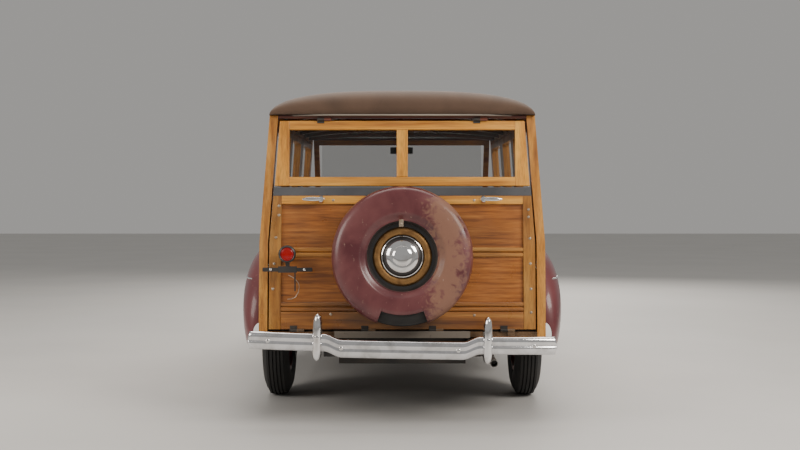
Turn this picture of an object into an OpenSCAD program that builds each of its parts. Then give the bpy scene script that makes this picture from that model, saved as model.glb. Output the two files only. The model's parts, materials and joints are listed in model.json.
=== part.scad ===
// Wood-bodied station wagon of about 1940: steel front and chassis, framed wood body,
// fabric roof, split tailgate and liftgate, spare wheel on the tailgate.
// Frame: +Y is forward, +X is the car's right, +Z is up, origin on the floor under the middle.

/* [Overall] */
// Distance between the axles
wheelbase = 2845; // [2500:5:3300]
// Front axle to the foremost point of the front bumper
front_overhang = 705; // [640:5:900]
// Rear axle to the rearmost point of the rear bumper
rear_overhang = 1230; // [1150:5:1500]
// Width of the wood body at the sills
body_w = 1528; // [1400:2:1700]
// Width over the fenders
fender_w = 1796; // [1700:2:1960]

/* [Body] */
// Height of the sills
sill_z = 445; // [420:1:480]
// Height at which the sides start to lean in
bend_z = 950; // [900:5:1000]
// Height of the eaves
eave_z = 1633; // [1500:1:1800]
// How far each side leans in at the eaves
tumble = 50; // [20:1:80]
// Thickness of doors, sides and posts
wall_t = 45; // [35:1:55]
// Shut gap round doors and gates
gap = 8; // [6:0.5:12]
// Height of the lower edge of the side windows
belt_z = 1205; // [1150:5:1260]
// Height of the upper edge of the side windows
light_z = 1548; // [1480:1:1580]
// Crown of the roof above the eaves
roof_h = 160; // [120:1:220]
// Thickness of the roof cover
roof_t = 12; // [8:1:20]

/* [Doors] */
// Front axle back to the front edge of the front doors
door_back = 1065; // [1000:5:1120]
// Length of a front door
front_door = 840; // [760:5:900]
// Width of the centre post
post_w = 80; // [60:1:110]
// Length of a rear door
rear_door = 730; // [680:5:800]
// Width of a door's wood rails and stiles
stile = 62; // [50:1:80]
// Depth of the panel recess
panel_recess = 12; // [8:1:18]
// Radius of a hinge knuckle
hinge_r = 8; // [6:0.5:11]
// Gap between the knuckles of one hinge
hinge_gap = 0.3; // [0.2:0.05:0.5]

/* [Gates] */
// Rearmost point of the bumper forward to the foot of the tailgate
gate_in = 315; // [290:5:400]
// Height of the foot of the tailgate
gate_z = 490; // [480:1:520]
// Forward lean of the gates, in degrees
lean = 5.5; // [3:0.5:8]
// Height of the wood tailgate
tail_h = 715; // [650:1:760]
// Height of the dark cap on the tailgate
cap_h = 46; // [30:1:60]
// Height of the liftgate
lift_h = 352; // [320:1:380]
// Thickness of the gates
gate_t = 42; // [36:1:50]
// Width of the gates' wood stiles
gate_stile = 64; // [50:1:80]

/* [Wheels] */
// Outer radius of the tyres
tyre_r = 362; // [330:1:390]
// Section width of the tyres
tyre_w = 158; // [140:1:180]
// Radius of the rims
rim_r = 203; // [190:1:215]
// Front track
front_track = 1416; // [1360:2:1480]
// Rear track
rear_track = 1480; // [1440:2:1520]
// Radius of the wheel arches
arch_r = 400; // [385:1:420]
// Radius of the wheel spindles
spindle_r = 20; // [16:0.5:26]
// Radius of the king pins
king_r = 12; // [9:0.5:16]
// Radial clearance of running fits
fit = 0.05; // [0.02:0.01:0.1]

/* [Spare] */
// Height of the spare's centre above the foot of the tailgate
spare_v = 380; // [360:1:420]
// Tailgate face to the spare tyre's inner face
spare_in = 62; // [50:1:80]
// Thickness of the gap between tyre and cover
cover_gap = 0.8; // [0.4:0.1:5]
// Thickness of the cover's sheet
cover_t = 6; // [3:0.5:8]
// Height of the carrier's pivot above the foot of the tailgate
pivot_v = 736; // [732:1:742]

/* [Bumpers] */
// Width of the bumpers
bumper_w = 1590; // [1500:5:1760]
// Height of a bumper bar
bumper_h = 92; // [80:1:110]
// Depth of a bumper bar
bumper_d = 34; // [26:1:40]
// Height of the rear bumper's middle line at its ends
bumper_z = 444; // [420:1:470]
// Dip of the rear bumper in the middle
bumper_dip = 29; // [10:1:35]
// Sideways tilt of the rear bumper, in degrees
bumper_tilt = 1.1; // [0:0.1:1.5]
// Sideways place of the bumper guards
guard_x = 434; // [420:1:480]
// Width of a guard
guard_w = 50; // [40:1:60]

/* [Hidden] */

$fn = 48;
total_l = front_overhang + wheelbase + rear_overhang;
rear_y = -total_l / 2;
front_y = total_l / 2;
rear_axle_y = rear_y + rear_overhang;
front_axle_y = rear_axle_y + wheelbase;
half_w = body_w / 2;
half_f = fender_w / 2;
gate_y = rear_y + gate_in;
door_y = front_axle_y - door_back;
b_post_y = door_y - front_door;
rear_door_y = b_post_y - post_w;
c_post_y = rear_door_y - rear_door;
cowl_y = door_y + 60;
firewall_y = cowl_y + 180;
nose_y = front_y - 130;
floor_t = 20;
load_floor_z = sill_z + 75;
load_floor_y = rear_axle_y + 280;
door_top = light_z + 46;
hinge_heights = [640, 1090];
glass_fit = 0.3;
lift_v = tail_h + cap_h + 7;
lift_gap = 12;
bead_heights = [107, 134, 398, 426];
bead_r = 12.5;
recess_t = 14;
tail_hinges = [-560, -180, 180, 560];
lift_hinges = [-420, 420];
latch_x = 434;
lamp_x = 606;
lamp_v = 404;
plate_holes = 178;
plate_hole_r = 3.5;
plate_bar_t = 6;
ear_x = 60;
ear_w = 30;
pin_r = 8;
header_z = gate_z + (lift_v + lift_h + lift_gap) * cos(lean) + 2;
header_half = side_x(header_z) - wall_t - 0.3;
roof_front_y = door_y + 20;
roof_back_y = gate_back(eave_z) - 30;
roof_mid = (roof_front_y + roof_back_y) / 2;
roof_half = (roof_front_y - roof_back_y) / 2;
roof_edge = 4;
bow_foot = 1602;
bow_deep = 26;
bow_places = [for (i = [1:6]) roof_back_y + i * 2 * roof_half / 7];
exhaust_z = 283;
tail_pipe = [478, 328];
dash_z = [belt_z - 170, belt_z - 15];
seat_deep = 420;
front_seat_y = door_y - 680;
middle_seat_y = rear_door_y - 520;
rear_seat_y = rear_axle_y - 430;
rail_x = 380;
arm_x = rail_x - 22;
house_x = rear_track / 2 - tyre_w / 2 - 40;
engine_y = front_axle_y - 560;
spare_w = spare_in + tyre_w / 2;
guard_out = 25;
kp_x = front_track / 2 - 110;
arm_z = [412, 440];
hood_z = 890;
hood_top = 1210;
clip_z = 470;
wood = "#C98C3C";
ash = "#D9A24B";
mahogany = "#8A4A22";
maroon = "#5E2732";
chrome = "#D5D8DC";
black = "#1C1C1E";
rubber = "#26262A";
steel = "#5A5D62";
leather = "#5A3226";

// ---------- shared shapes ----------
function side_x(z) = half_w - max(0, z - bend_z) * tumble / (eave_z - bend_z);
function dome(s, p) = pow(max(0, 1 - pow(min(1, abs(s)), p)), 1 / p);
function spow(v, e) = sign(v) * pow(abs(v), e);
function reversed(list) = [for (i = [len(list) - 1:-1:0]) list[i]];
function gate_back(z) = gate_y + (z - gate_z) * tan(lean);
function mix(a, b, t) = a + (b - a) * t;

function ring_normal(r, j = 1) = j >= len(r) - 1 ? [0, 0, 0]
    : cross(r[j] - r[0], r[j + 1] - r[0]) + ring_normal(r, j + 1);

// Skin over a list of closed rings that all have the same number of points
module loft(rings) {
    m = len(rings);
    n = len(rings[0]);
    turned = ring_normal(rings[1]) * (rings[2][0] - rings[1][0]) < 0;
    sides = [for (i = [0:m - 2]) for (j = [0:n - 1]) for (k = [0, 1])
        let (a = i * n + j, b = i * n + (j + 1) % n, c = b + n, d = a + n)
        k == 0 ? [a, c, b] : [a, d, c]];
    first = [[for (j = [0:n - 1]) j]];
    last = [[for (j = [n - 1:-1:0]) (m - 1) * n + j]];
    polyhedron(points = [for (r = rings) each (turned ? reversed(r) : r)], faces = concat(sides, first, last));
}

// A 2D shape given in (y, z), drawn out along X
module side_prism(x0, x1) {
    translate([x0, 0, 0]) rotate([90, 0, 90]) linear_extrude(x1 - x0) children();
}

// A 2D shape given in (x, z), drawn out along Y
module cross_prism(y0, y1) {
    translate([0, y1, 0]) rotate([90, 0, 0]) linear_extrude(y1 - y0) children();
}

module block(x0, x1, y0, y1, z0, z1) {
    translate([x0, y0, z0]) cube([x1 - x0, y1 - y0, z1 - z0]);
}

module rod(a, b, r) {
    d = b - a;
    length = norm(d);
    translate(a) rotate([0, acos(d[2] / length), atan2(d[1], d[0])]) cylinder(h = length, r = r);
}

module both_sides() {
    children();
    mirror([1, 0, 0]) children();
}

// The slab that the wood sides and doors are cut from
module side_slab(outset, thick) {
    cross_prism(rear_y, front_y)
        polygon([[half_w + outset, sill_z], [half_w + outset, bend_z],
                 [side_x(eave_z) + outset, eave_z], [side_x(eave_z) + outset - thick, eave_z],
                 [half_w + outset - thick, bend_z], [half_w + outset - thick, sill_z]]);
}

// A (y, z) outline cut from the right side slab
module side_piece(outset = 0, thick = wall_t) {
    intersection() {
        side_slab(outset, thick);
        side_prism(half_w / 2, half_w + 50) children();
    }
}

// Places children in the plane of the gates: y = 0 is the outer face, +y is inward
module on_gate() {
    translate([0, gate_y, gate_z]) rotate([-lean, 0, 0]) children();
}

// ---------- side outlines in (y, z) ----------
module front_door_2d(g = 0) {
    translate([b_post_y + g, sill_z - 1]) square([front_door - 2 * g, door_top - sill_z + 1 - g]);
}

module rear_door_2d(g = 0) {
    difference() {
        translate([c_post_y + g, sill_z - 1]) square([rear_door - 2 * g, door_top - sill_z + 1 - g]);
        fender_gap_2d(12 + g);
    }
}

// Side profile of the rear fender, enlarged, where the rear door is cut away
module fender_gap_2d(g) {
    f = rear_fender;
    mid = (f[0] + f[1]) / 2;
    grow = 1 + (g + 8) * 2 / (f[1] - f[0]);
    polygon(concat([[mid + (f[0] - mid) * grow, 0]], [for (i = [0:24]) let (y = mix(f[0], f[1], i / 24))
        [mid + (y - mid) * grow, f_top(f, y) + g]], [[mid + (f[1] - mid) * grow, 0]]));
}

module window_2d(y0, y1, r = 26) {
    translate([y0 + r, belt_z + r]) offset(r = r) square([y1 - y0 - 2 * r, light_z - belt_z - 2 * r]);
}

module front_light_2d(m = 0) { window_2d(b_post_y + stile - m, door_y - stile + m); }
module rear_light_2d(m = 0) { window_2d(c_post_y + stile - m, rear_door_y - stile + m); }
module quarter_light_2d(m = 0) { window_2d(gate_back(light_z) + stile - m, c_post_y - stile + m); }

module body_side_2d() {
    difference() {
        polygon([[gate_back(sill_z), sill_z], [cowl_y, sill_z], [cowl_y, eave_z], [gate_back(eave_z), eave_z]]);
        front_door_2d();
        rear_door_2d();
        quarter_light_2d();
        translate([rear_axle_y, tyre_r]) circle(r = arch_r, $fn = 96);
    }
}

// Panel recesses, cut into the outer face between y0 and y1, from z0 to z1
module recess(y0, y1, z0, z1) {
    intersection() {
        side_slab(40, 40 + panel_recess);
        side_prism(half_w / 2, half_w + 60) translate([y0, z0]) square([y1 - y0, z1 - z0]);
    }
}

// Hinge knuckles along Z: the carried one lies below the carrying one
module hinge_knuckle(y, z, carried, toward) {
    h = 34;
    z0 = carried ? z - h : z + hinge_gap;
    translate([half_w + hinge_r, y, z0]) cylinder(h = h, r = hinge_r);
    block(side_x(z + h) - 12, half_w + hinge_r, toward > 0 ? y : y - 30, toward > 0 ? y + 30 : y, z0, z0 + h);
}

// ---------- wood body ----------
module body_side() {
    color(wood) difference() {
        union() {
            side_piece() body_side_2d();
            for (z = hinge_heights) {
                hinge_knuckle(door_y, z, false, 1);
                hinge_knuckle(rear_door_y, z, false, 1);
            }
        }
        recess(gate_back(belt_z) + stile, c_post_y - stile, rear_fender[3] + 60, belt_z - stile);
    }
}

module door(y0, y1, hinge_y) {
    color(wood) difference() {
        union() {
            side_piece() children(0);
            for (z = hinge_heights) hinge_knuckle(hinge_y, z, true, -1);
            // door handle
            translate([side_x(belt_z) - 5, y0 + 50, belt_z - 40]) rotate([0, 90, 0]) cylinder(h = half_w - side_x(belt_z) + 40, r = 9);
            block(half_w + 28, half_w + 42, y0 + 41, y0 + 150, belt_z - 49, belt_z - 31);
        }
        children(1);
        recess(y0 + gap + stile, y1 - gap - stile, bend_z + 20, belt_z - stile);
    }
}

module glass(x_in = 20) {
    color("#AFC4C8", 0.4) side_piece(-x_in, 5) children();
}

module front_door_solid() {
    difference() {
        door(b_post_y, door_y, door_y) { front_door_2d(gap); side_prism(0, half_f) front_light_2d(); }
        recess(b_post_y + gap + stile, door_y - gap - stile, sill_z + stile, bend_z - stile + 20);
    }
}

module rear_door_solid() {
    difference() {
        door(c_post_y, rear_door_y, rear_door_y) { rear_door_2d(gap); side_prism(0, half_f) rear_light_2d(); }
        recess(rear_fender[1] + gap + stile + 30, rear_door_y - gap - stile, sill_z + stile, bend_z - stile + 20);
    }
}

module right_body_side() { body_side(); }
module left_body_side() { mirror([1, 0, 0]) body_side(); }
module front_right_door() { front_door_solid(); }
module front_left_door() { mirror([1, 0, 0]) front_door_solid(); }
module rear_right_door() { rear_door_solid(); }
module rear_left_door() { mirror([1, 0, 0]) rear_door_solid(); }
module front_right_glass() { glass() front_light_2d(-glass_fit); }
module front_left_glass() { mirror([1, 0, 0]) front_right_glass(); }
module rear_right_glass() { glass() rear_light_2d(-glass_fit); }
module rear_left_glass() { mirror([1, 0, 0]) rear_right_glass(); }
module quarter_glass() { both_sides() glass() quarter_light_2d(-glass_fit); }

// Outline of the gates' opening at one height, less a side gap
function gate_half(v, g) = side_x(gate_z + v * cos(lean)) - wall_t - g;

module gate_2d(v0, v1, g) {
    bend_v = (bend_z - gate_z) / cos(lean);
    polygon(v0 < bend_v
        ? [[-gate_half(v0, g), v0], [gate_half(v0, g), v0], [gate_half(bend_v, g), bend_v],
           [gate_half(v1, g), v1], [-gate_half(v1, g), v1], [-gate_half(bend_v, g), bend_v]]
        : [[-gate_half(v0, g), v0], [gate_half(v0, g), v0], [gate_half(v1, g), v1], [-gate_half(v1, g), v1]]);
}

// A 2D shape given in (x, v) on the gates' plane, from depth w0 to w1 inward of the outer face
module gate_plate(w0, w1) {
    translate([0, w1, 0]) rotate([90, 0, 0]) linear_extrude(w1 - w0) children();
}

module gate_hinge(x, v, carried) {
    h = 38;
    x0 = carried ? x - h : x + hinge_gap;
    translate([x0, -hinge_r, v]) rotate([0, 90, 0]) cylinder(h = h, r = hinge_r);
    rise = carried == (v > 0) ? -34 : 34;
    translate([x0, -hinge_r, min(v, v + rise)]) cube([h, 2 * hinge_r + 2, 34]);
}

module gate_lights_2d(m) {
    x1 = gate_half(lift_v + lift_h / 2, lift_gap) - gate_stile;
    for (s = [-1, 1]) translate([s > 0 ? 30 - m : -x1 - m, lift_v + 48 - m])
        square([x1 - 30 + 2 * m, lift_h - 96 + 2 * m]);
}

module liftgate() {
    color(ash) on_gate() {
        difference() {
            gate_plate(0, gate_t) gate_2d(lift_v, lift_v + lift_h, lift_gap);
            gate_plate(-1, gate_t + 1) gate_lights_2d(0);
        }
        for (x = lift_hinges) gate_hinge(x, lift_v + lift_h + lift_gap / 2, true);
    }
}

module liftgate_glass() {
    color("#AFC4C8", 0.4) on_gate() gate_plate(18, 23) gate_lights_2d(-glass_fit);
}

module tailgate() {
    x1 = gate_half(tail_h / 2, gap) - gate_stile;
    color(mahogany) on_gate() {
        union() {
            difference() {
                gate_plate(0, gate_t) gate_2d(0, tail_h, gap);
                gate_plate(-1, recess_t) translate([-x1, 93]) square([2 * x1, tail_h - 93 - 46]);
            }
            tail_beads(x1 + 1);
            for (x = tail_hinges) gate_hinge(x, -gap / 2, true);
        }
        for (s = [-1, 1]) carrier_ear(s);
    }
}

// Half-round beads that divide the tailgate's panels
module tail_beads(half) {
    for (v = bead_heights) translate([-half, recess_t, v]) rotate([0, 90, 0]) cylinder(h = 2 * half, r = bead_r);
}

// Ear on the tailgate that holds the pin of the spare's carrier
module carrier_ear(s) {
    translate([s * ear_x - 6, 0, pivot_v]) rotate([0, 90, 0]) difference() {
        union() {
            translate([0, -ear_w, 0]) cylinder(h = 12, r = 14);
            translate([0, -ear_w - 14, 0]) cube([66, ear_w + 13.6, 12]);
            translate([34, -20, 0]) cube([32, 32, 12]);
        }
        translate([0, -ear_w, -1]) cylinder(h = 14, r = pin_r + fit);
    }
}

module tailgate_cap() {
    color("#55565A") on_gate() gate_plate(0, gate_t) gate_2d(tail_h, tail_h + cap_h, gap);
}

module tailgate_latches() {
    color(chrome) on_gate() for (s = [-1, 1]) {
        translate([s * latch_x, 0, tail_h - 22]) rotate([90, 0, 0]) cylinder(h = 34, r = 12);
        translate([s * latch_x + (s > 0 ? -14 : -106), -46, tail_h - 32]) cube([120, 12, 20]);
    }
}

// The lamp and its plate bar stand upright on the leaning tailgate
module tail_lamp() {
    z = gate_z + lamp_v;
    color("#A01818") difference() {
        translate([-lamp_x, gate_back(z) + 24, z]) rotate([90, 0, 0]) cylinder(h = 116, r = 38);
        on_gate() {
            translate([-lamp_x - 60, recess_t, lamp_v - 60]) cube([120, 60, 120]);
            tail_beads(lamp_x + 40);
        }
    }
    color("#A01818") translate([-lamp_x, gate_back(z), z]) {
        translate([0, -92, 0]) rotate([90, 0, 0]) cylinder(h = 18, r1 = 46, r2 = 40);
        translate([-12, -78, -96]) cube([24, 12, 64]);
        difference() {
            translate([-132, -82, -96]) cube([264, plate_bar_t, 26]);
            for (s = [-1, 1]) translate([s * plate_holes / 2, -60, -83])
                rotate([90, 0, 0]) cylinder(h = 40, r = plate_hole_r);
        }
    }
}

function roof_rise(y) = dome((y - roof_mid) / roof_half, 4.5);
function roof_point(y, a, drop) =
    [(side_x(eave_z) - drop) * spow(cos(a), 2 / 2.7),
     eave_z + max(roof_edge, (roof_h - drop) * roof_rise(y)) * spow(sin(a), 2 / 2.7)];

module roof_cover() {
    n = 18;
    m = 16;
    ys = [for (i = [0:m]) roof_mid - (roof_half - 1) * cos(180 * i / m)];
    color("#6B5848") loft([for (y = ys) concat(
        [for (i = [0:n]) let (p = roof_point(y, 180 * i / n, 0)) [p[0], y, p[1] + roof_t * (0.3 + 0.7 * roof_rise(y))]],
        [for (i = [n:-1:0]) let (p = roof_point(y, 180 * i / n, roof_t)) [p[0], y, p[1]]])]);
}

// Crown of the inner ceiling, which falls toward the windshield
function ceiling_z(y) = mix(1722, 1640, pow((y - roof_back_y) / (2 * roof_half), 1.5));

module roof_bows() {
    color("#6A2A1C") {
        for (y = bow_places) bow(y);
        // headers that close the roof opening at its ends
        for (e = [[gate_back(header_z) + 4, gate_back(header_z) + 4 + wall_t], [door_y - 10, cowl_y - 32]])
            cross_prism(e[0], e[1]) polygon([[-header_half, header_z], [header_half, header_z],
                [header_half - 1, eave_z], [1 - header_half, eave_z]]);
        on_gate() for (x = lift_hinges) gate_hinge(x, lift_v + lift_h + lift_gap / 2, false);
    }
}

// One arched bow, whose feet rest against the body sides above the doors
module bow(y) {
    n = 24;
    foot = side_x(bow_foot + bow_deep) - wall_t - 0.3;
    top = [for (i = [-n:n]) [foot * i / n, bow_foot + bow_deep + (ceiling_z(y) - bow_foot - bow_deep) * (1 - pow(abs(i / n), 2.4))]];
    cross_prism(y - 14, y + 14) polygon(concat(top, [for (q = reversed(top)) [q[0], q[1] - bow_deep]]));
}

// ---------- steel front ----------
// Half width of the cowl and of the hood's lower edge at one place along the car
function clip_w(y) = y < firewall_y
    ? mix(half_w, 545, (y - cowl_y) / (firewall_y - cowl_y))
    : 545 * pow(max(0, 1 - pow((y - firewall_y) / (nose_y - firewall_y), 1.7)), 0.62);
function hood_rise(y) = y < firewall_y ? hood_top - hood_z
    : (hood_top - hood_z) * pow(max(0, 1 - pow((y - firewall_y) / (nose_y - firewall_y), 3.4)), 0.45);
function arch_line(w, z0, rise, p, n, leg) = concat(leg > 0 ? [[w, z0 - leg]] : [],
    [for (i = [0:n]) let (a = 180 * i / n) [w * spow(cos(a), 2 / p), z0 + rise * spow(sin(a), 2 / p)]],
    leg > 0 ? [[-w, z0 - leg]] : []);
function sheet_ring(y, outer, inner) =
    [for (q = concat(outer, reversed(inner))) [q[0], y, q[1]]];

module cowl() {
    steps = 5;
    rise = hood_top - hood_z;
    leg = hood_z - clip_z;
    color(maroon) {
        loft([for (i = [0:steps]) let (k = i / steps, y = mix(cowl_y + 0.3, firewall_y, k), w = clip_w(y) - 0.3)
            sheet_ring(y, arch_line(w, hood_z, rise, mix(9, 2.7, k), 20, leg),
                arch_line(w - 14, hood_z, rise - 14, mix(9, 2.7, k), 20, leg))]);
        // firewall
        cross_prism(firewall_y - 7, firewall_y - 1)
            polygon(arch_line(clip_w(firewall_y) - 9, hood_z, rise - 9, 2.7, 20, leg - 1));
        // dash
        cross_prism(door_y + 20, door_y + 52) polygon([for (q = [[-1, dash_z[0]], [1, dash_z[0]], [1, dash_z[1]], [-1, dash_z[1]]])
            [q[0] * (side_x(q[1]) - wall_t - 0.3), q[1]]]);
    }
}

module windshield_frame() {
    y0 = cowl_y + 130;
    y1 = cowl_y - 26;
    z0 = hood_top + 0.5;
    z1 = eave_z - 4;
    color(maroon) {
        for (s = [-1, 1]) hull() {
            translate([s * 640 - 20, y0 - 30, z0]) cube([40, 50, 4]);
            translate([s * (header_half - 25) - 20, y1, z1]) cube([40, 40, 3]);
        }
        hull() {
            translate([-640, y0 - 30, z0]) cube([1280, 50, 4]);
            translate([-636, y0 - 44, z0 + 44]) cube([1272, 44, 2]);
        }
        hull() {
            translate([25 - header_half, y1, z1]) cube([2 * header_half - 50, 40, 3]);
            translate([15 - header_half, y1 + 16, z1 - 46]) cube([2 * header_half - 30, 36, 2]);
        }
        hull() {
            translate([-14, y0 - 40, z0 + 30]) cube([28, 34, 4]);
            translate([-14, y1 + 8, z1 - 30]) cube([28, 34, 3]);
        }
    }
}

module windshield_glass() {
    color("#AFC4C8", 0.4) for (s = [-1, 1]) hull() {
        translate([s > 0 ? 15 : -612, cowl_y + 95, hood_top + 47.5]) cube([597, 5, 1]);
        translate([s > 0 ? 15 : -602, cowl_y - 6, eave_z - 51.5]) cube([587, 5, 1]);
    }
}

// Prow, from its foot to the hood's lower edge
module front_clip() {
    n = 24;
    color(maroon) {
        loft([for (z = [clip_z, 560, 680, 800, hood_z - 0.5])
            let (pull = 46 * pow((hood_z - z) / (hood_z - clip_z), 1.6))
            [for (q = concat(prow_line(0, n), reversed(prow_line(8, n)))) [q[0], q[1] - pull * (q[1] - firewall_y) / 1400, z]]]);
    }
}
function prow_line(t, n) = [for (i = [-n:n]) let (
    k = 1 - abs(i) / n,
    y = firewall_y + 0.5 + (nose_y - t - firewall_y - 0.5) * sin(90 * k))
    [sign(i) * max(i == 0 ? 0 : 0.5, prow_w(y, t)), y]];
function prow_w(y, t) = clip_w(min(nose_y, y + t * 0.6)) - t * 0.85;

module hood() {
    m = 20;
    n = 22;
    y0 = firewall_y + gap;
    y1 = nose_y - 4;
    color(maroon) {
        loft([for (i = [0:m]) let (y = mix(y0, y1, sin(90 * i / m)), w = clip_w(y), h = hood_rise(y))
            sheet_ring(y, arch_line(w, hood_z, h, 2.5, n, 0), arch_line(max(1, w - 8), hood_z, max(1, h - 8), 2.5, n, 0))]);
    }
}

// ---------- fenders ----------
// f = [tail y, nose y, foot z, crown z, outer x, axle y, wheel centre z, crown power]
function f_s(f, y) = (y - (f[0] + f[1]) / 2) / ((f[1] - f[0]) / 2);
function f_top(f, y) = f[2] + 30 + (f[3] - f[2] - 30) * dome(f_s(f, y), f[7]);
function f_out(f, y, x_in) = x_in + 10 + (f[4] - x_in - 10) * dome(f_s(f, y), f[7] + 0.4);
function f_low(f, y) = let (d = abs(y - f[5])) d < arch_r
    ? min(f_top(f, y) - 25, max(f[2], tyre_r + sqrt(arch_r * arch_r - d * d))) : f[2];
function f_x(f, y, z, x_in) = let (top = f_top(f, y), mid = mix(f[2], top, 0.42), out = f_out(f, y, x_in))
    z >= mid ? x_in + (out - x_in) * dome((z - mid) / (top - mid), 2.1)
    : out - 18 * pow((mid - z) / (mid - f[2]), 2);

function fender_ring(f, y, x_in, n, t) = let (top = f_top(f, y), low = f_low(f, y), mid = mix(f[2], top, 0.42),
    line = [for (j = [0:n]) let (z = top - (top - low) * (1 - cos(90 * j / n))) [f_x(f, y, z, x_in), y, z]],
    inner = [for (q = line) let (k = max(0, min(1, (q[2] - mid) / (top - mid))))
        [max(x_in, q[0] - t * (1 - 0.6 * k)), y, q[2] - t * pow(k, 1.5)]])
    concat(line, reversed(inner));

module fender(f, m, n) {
    ys = [for (i = [0:m]) mix(f[0], f[1], (1 - cos(180 * i / m)) / 2 * 0.994 + 0.003)];
    loft([for (y = ys) fender_ring(f, y, fender_in(y), n, 7)]);
}
function fender_in(y) = (y < cowl_y ? half_w : clip_w(y)) + 0.4;

rear_fender = [gate_y + 60, rear_axle_y + arch_r + 125, 398, 918, half_f, rear_axle_y, tyre_r, 2.5];
front_fender = [cowl_y + 10, nose_y + 8, 446, 935, half_f, front_axle_y, tyre_r, 2.6];

module rear_fenders() { color(maroon) both_sides() fender(rear_fender, 30, 10); }

module front_fenders() {
    color(maroon) both_sides() difference() {
        fender(front_fender, 34, 11);
        lamp_can(97, 230);
    }
}

module lamp_can(r, depth) {
    translate([lamp_place[0], lamp_place[1] - depth, lamp_place[2]]) rotate([-90, 0, 0]) cylinder(h = depth + 60, r = r);
}
lamp_place = [590, front_axle_y + 400, 790];

module headlamps() {
    color(chrome) both_sides() translate([lamp_place[0], lamp_place[1], lamp_place[2]]) rotate([-90, 0, 0]) {
        translate([0, 0, -110]) cylinder(h = 130, r = 96.5);
        translate([0, 0, 20]) cylinder(h = 16, r1 = 96.5, r2 = 78);
    }
}

module running_boards() {
    y0 = rear_fender[1] + 4;
    y1 = front_fender[0] - 4;
    color(black) both_sides() {
        block(half_w + 1, half_f - 14, y0, y1, 352, 378);
        for (y = [y0 + 120, (y0 + y1) / 2, y1 - 120]) block(rail_x - 20, half_w + 60, y - 20, y + 20, 334, 351.7);
    }
}

// ---------- chassis ----------
module chassis_frame() {
    deep = 74;
    kick_z = load_floor_z - 0.3 - deep;
    low = [[rear_y + 190, 362], [rear_axle_y - 480, 362], [rear_axle_y - 350, kick_z], [rear_axle_y + 180, kick_z],
           [rear_axle_y + 265, 352], [front_axle_y - 470, 352], [front_axle_y - 320, 392], [front_y - 190, 392]];
    color(black) union() {
        both_sides() side_prism(rail_x - 30, rail_x + 30)
            polygon(concat(low, [for (q = reversed(low)) [q[0], q[1] + deep]]));
        block(-rail_x, rail_x, rear_y + 205, rear_y + 255, 372, 430);
        block(-rail_x, rail_x, rear_axle_y - 65, rear_axle_y - 15, 456, 514);
        block(-rail_x, rail_x, 60, 110, 402, 424);
        block(-rail_x, rail_x, front_axle_y - 38, front_axle_y + 22, 400.5, 440);
        block(-rail_x, rail_x, front_y - 270, front_y - 210, 400, 460);
        // bumper arms
        both_sides() {
            block(arm_x - 8, arm_x + 7, rear_y + bar_back(arm_x + 8), rear_y + 191, arm_z[0], arm_z[1]);
            block(arm_x - 8, arm_x + 7, front_y - 191, front_y - bar_back(arm_x + 8), arm_z[0], arm_z[1]);
        }
    }
}

module front_axle() {
    color(black) union() {
        block(-kp_x + 45, kp_x - 45, front_axle_y - 22, front_axle_y + 22, 300, 350);
        both_sides() translate([kp_x, front_axle_y, tyre_r - 42]) difference() {
            union() {
                cylinder(h = 64, r = 27);
                translate([-60, -22, 0]) cube([50, 44, 64]);
            }
            translate([0, 0, -30]) cylinder(h = 120, r = king_r + fit);
        }
        // transverse spring
        cross_prism(front_axle_y - 24, front_axle_y + 24)
            polygon([[-520, 349], [0, 376], [520, 349], [520, 370], [60, 400], [-60, 400], [-520, 370]]);
        both_sides() rod([kp_x - 80, front_axle_y - 10, 325], [129.6, engine_y - 100, 332], 19);
    }
}

module rear_axle() {
    color(black) union() {
        rod([-rear_track / 2 + 90, rear_axle_y, tyre_r], [rear_track / 2 - 90, rear_axle_y, tyre_r], 38);
        rod([-64, rear_axle_y, tyre_r], [64, rear_axle_y, tyre_r], 82);
        rod([0, rear_axle_y, tyre_r], [0, 129.7, tyre_r], 34);
        both_sides() {
            translate([rear_track / 2 - 96, rear_axle_y, tyre_r]) rotate([0, 90, 0]) cylinder(h = 16, r = 138);
            translate([rear_track / 2 - 112, rear_axle_y, tyre_r]) rotate([0, 90, 0]) cylinder(h = 112, r = spindle_r);
            translate([62, rear_axle_y, tyre_r]) rotate([0, 90, 0]) cylinder(h = 60, r1 = 76, r2 = 46);
            rod([rear_track / 2 - 130, rear_axle_y, tyre_r - 44], [44, 60, tyre_r - 24], 16);
        }
        // transverse spring
        cross_prism(rear_axle_y - 240, rear_axle_y - 190)
            polygon([[-560, 372], [0, 418], [560, 372], [560, 396], [60, 446], [-60, 446], [-560, 396]]);
        both_sides() block(504, 552, rear_axle_y - 226, rear_axle_y - 4, 364, 386);
    }
}

module engine_block() {
    color(steel) {
        block(-210, 210, engine_y - 150, engine_y + 420, 440, 800);
        block(-110, 110, engine_y - 150, engine_y + 420, 310, 440);
        block(-95, 95, 130, engine_y - 149, 318, 434);
        // engine feet on the rails
        block(-rail_x, rail_x, engine_y, engine_y + 50, 426.3, 450);
    }
}

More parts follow.
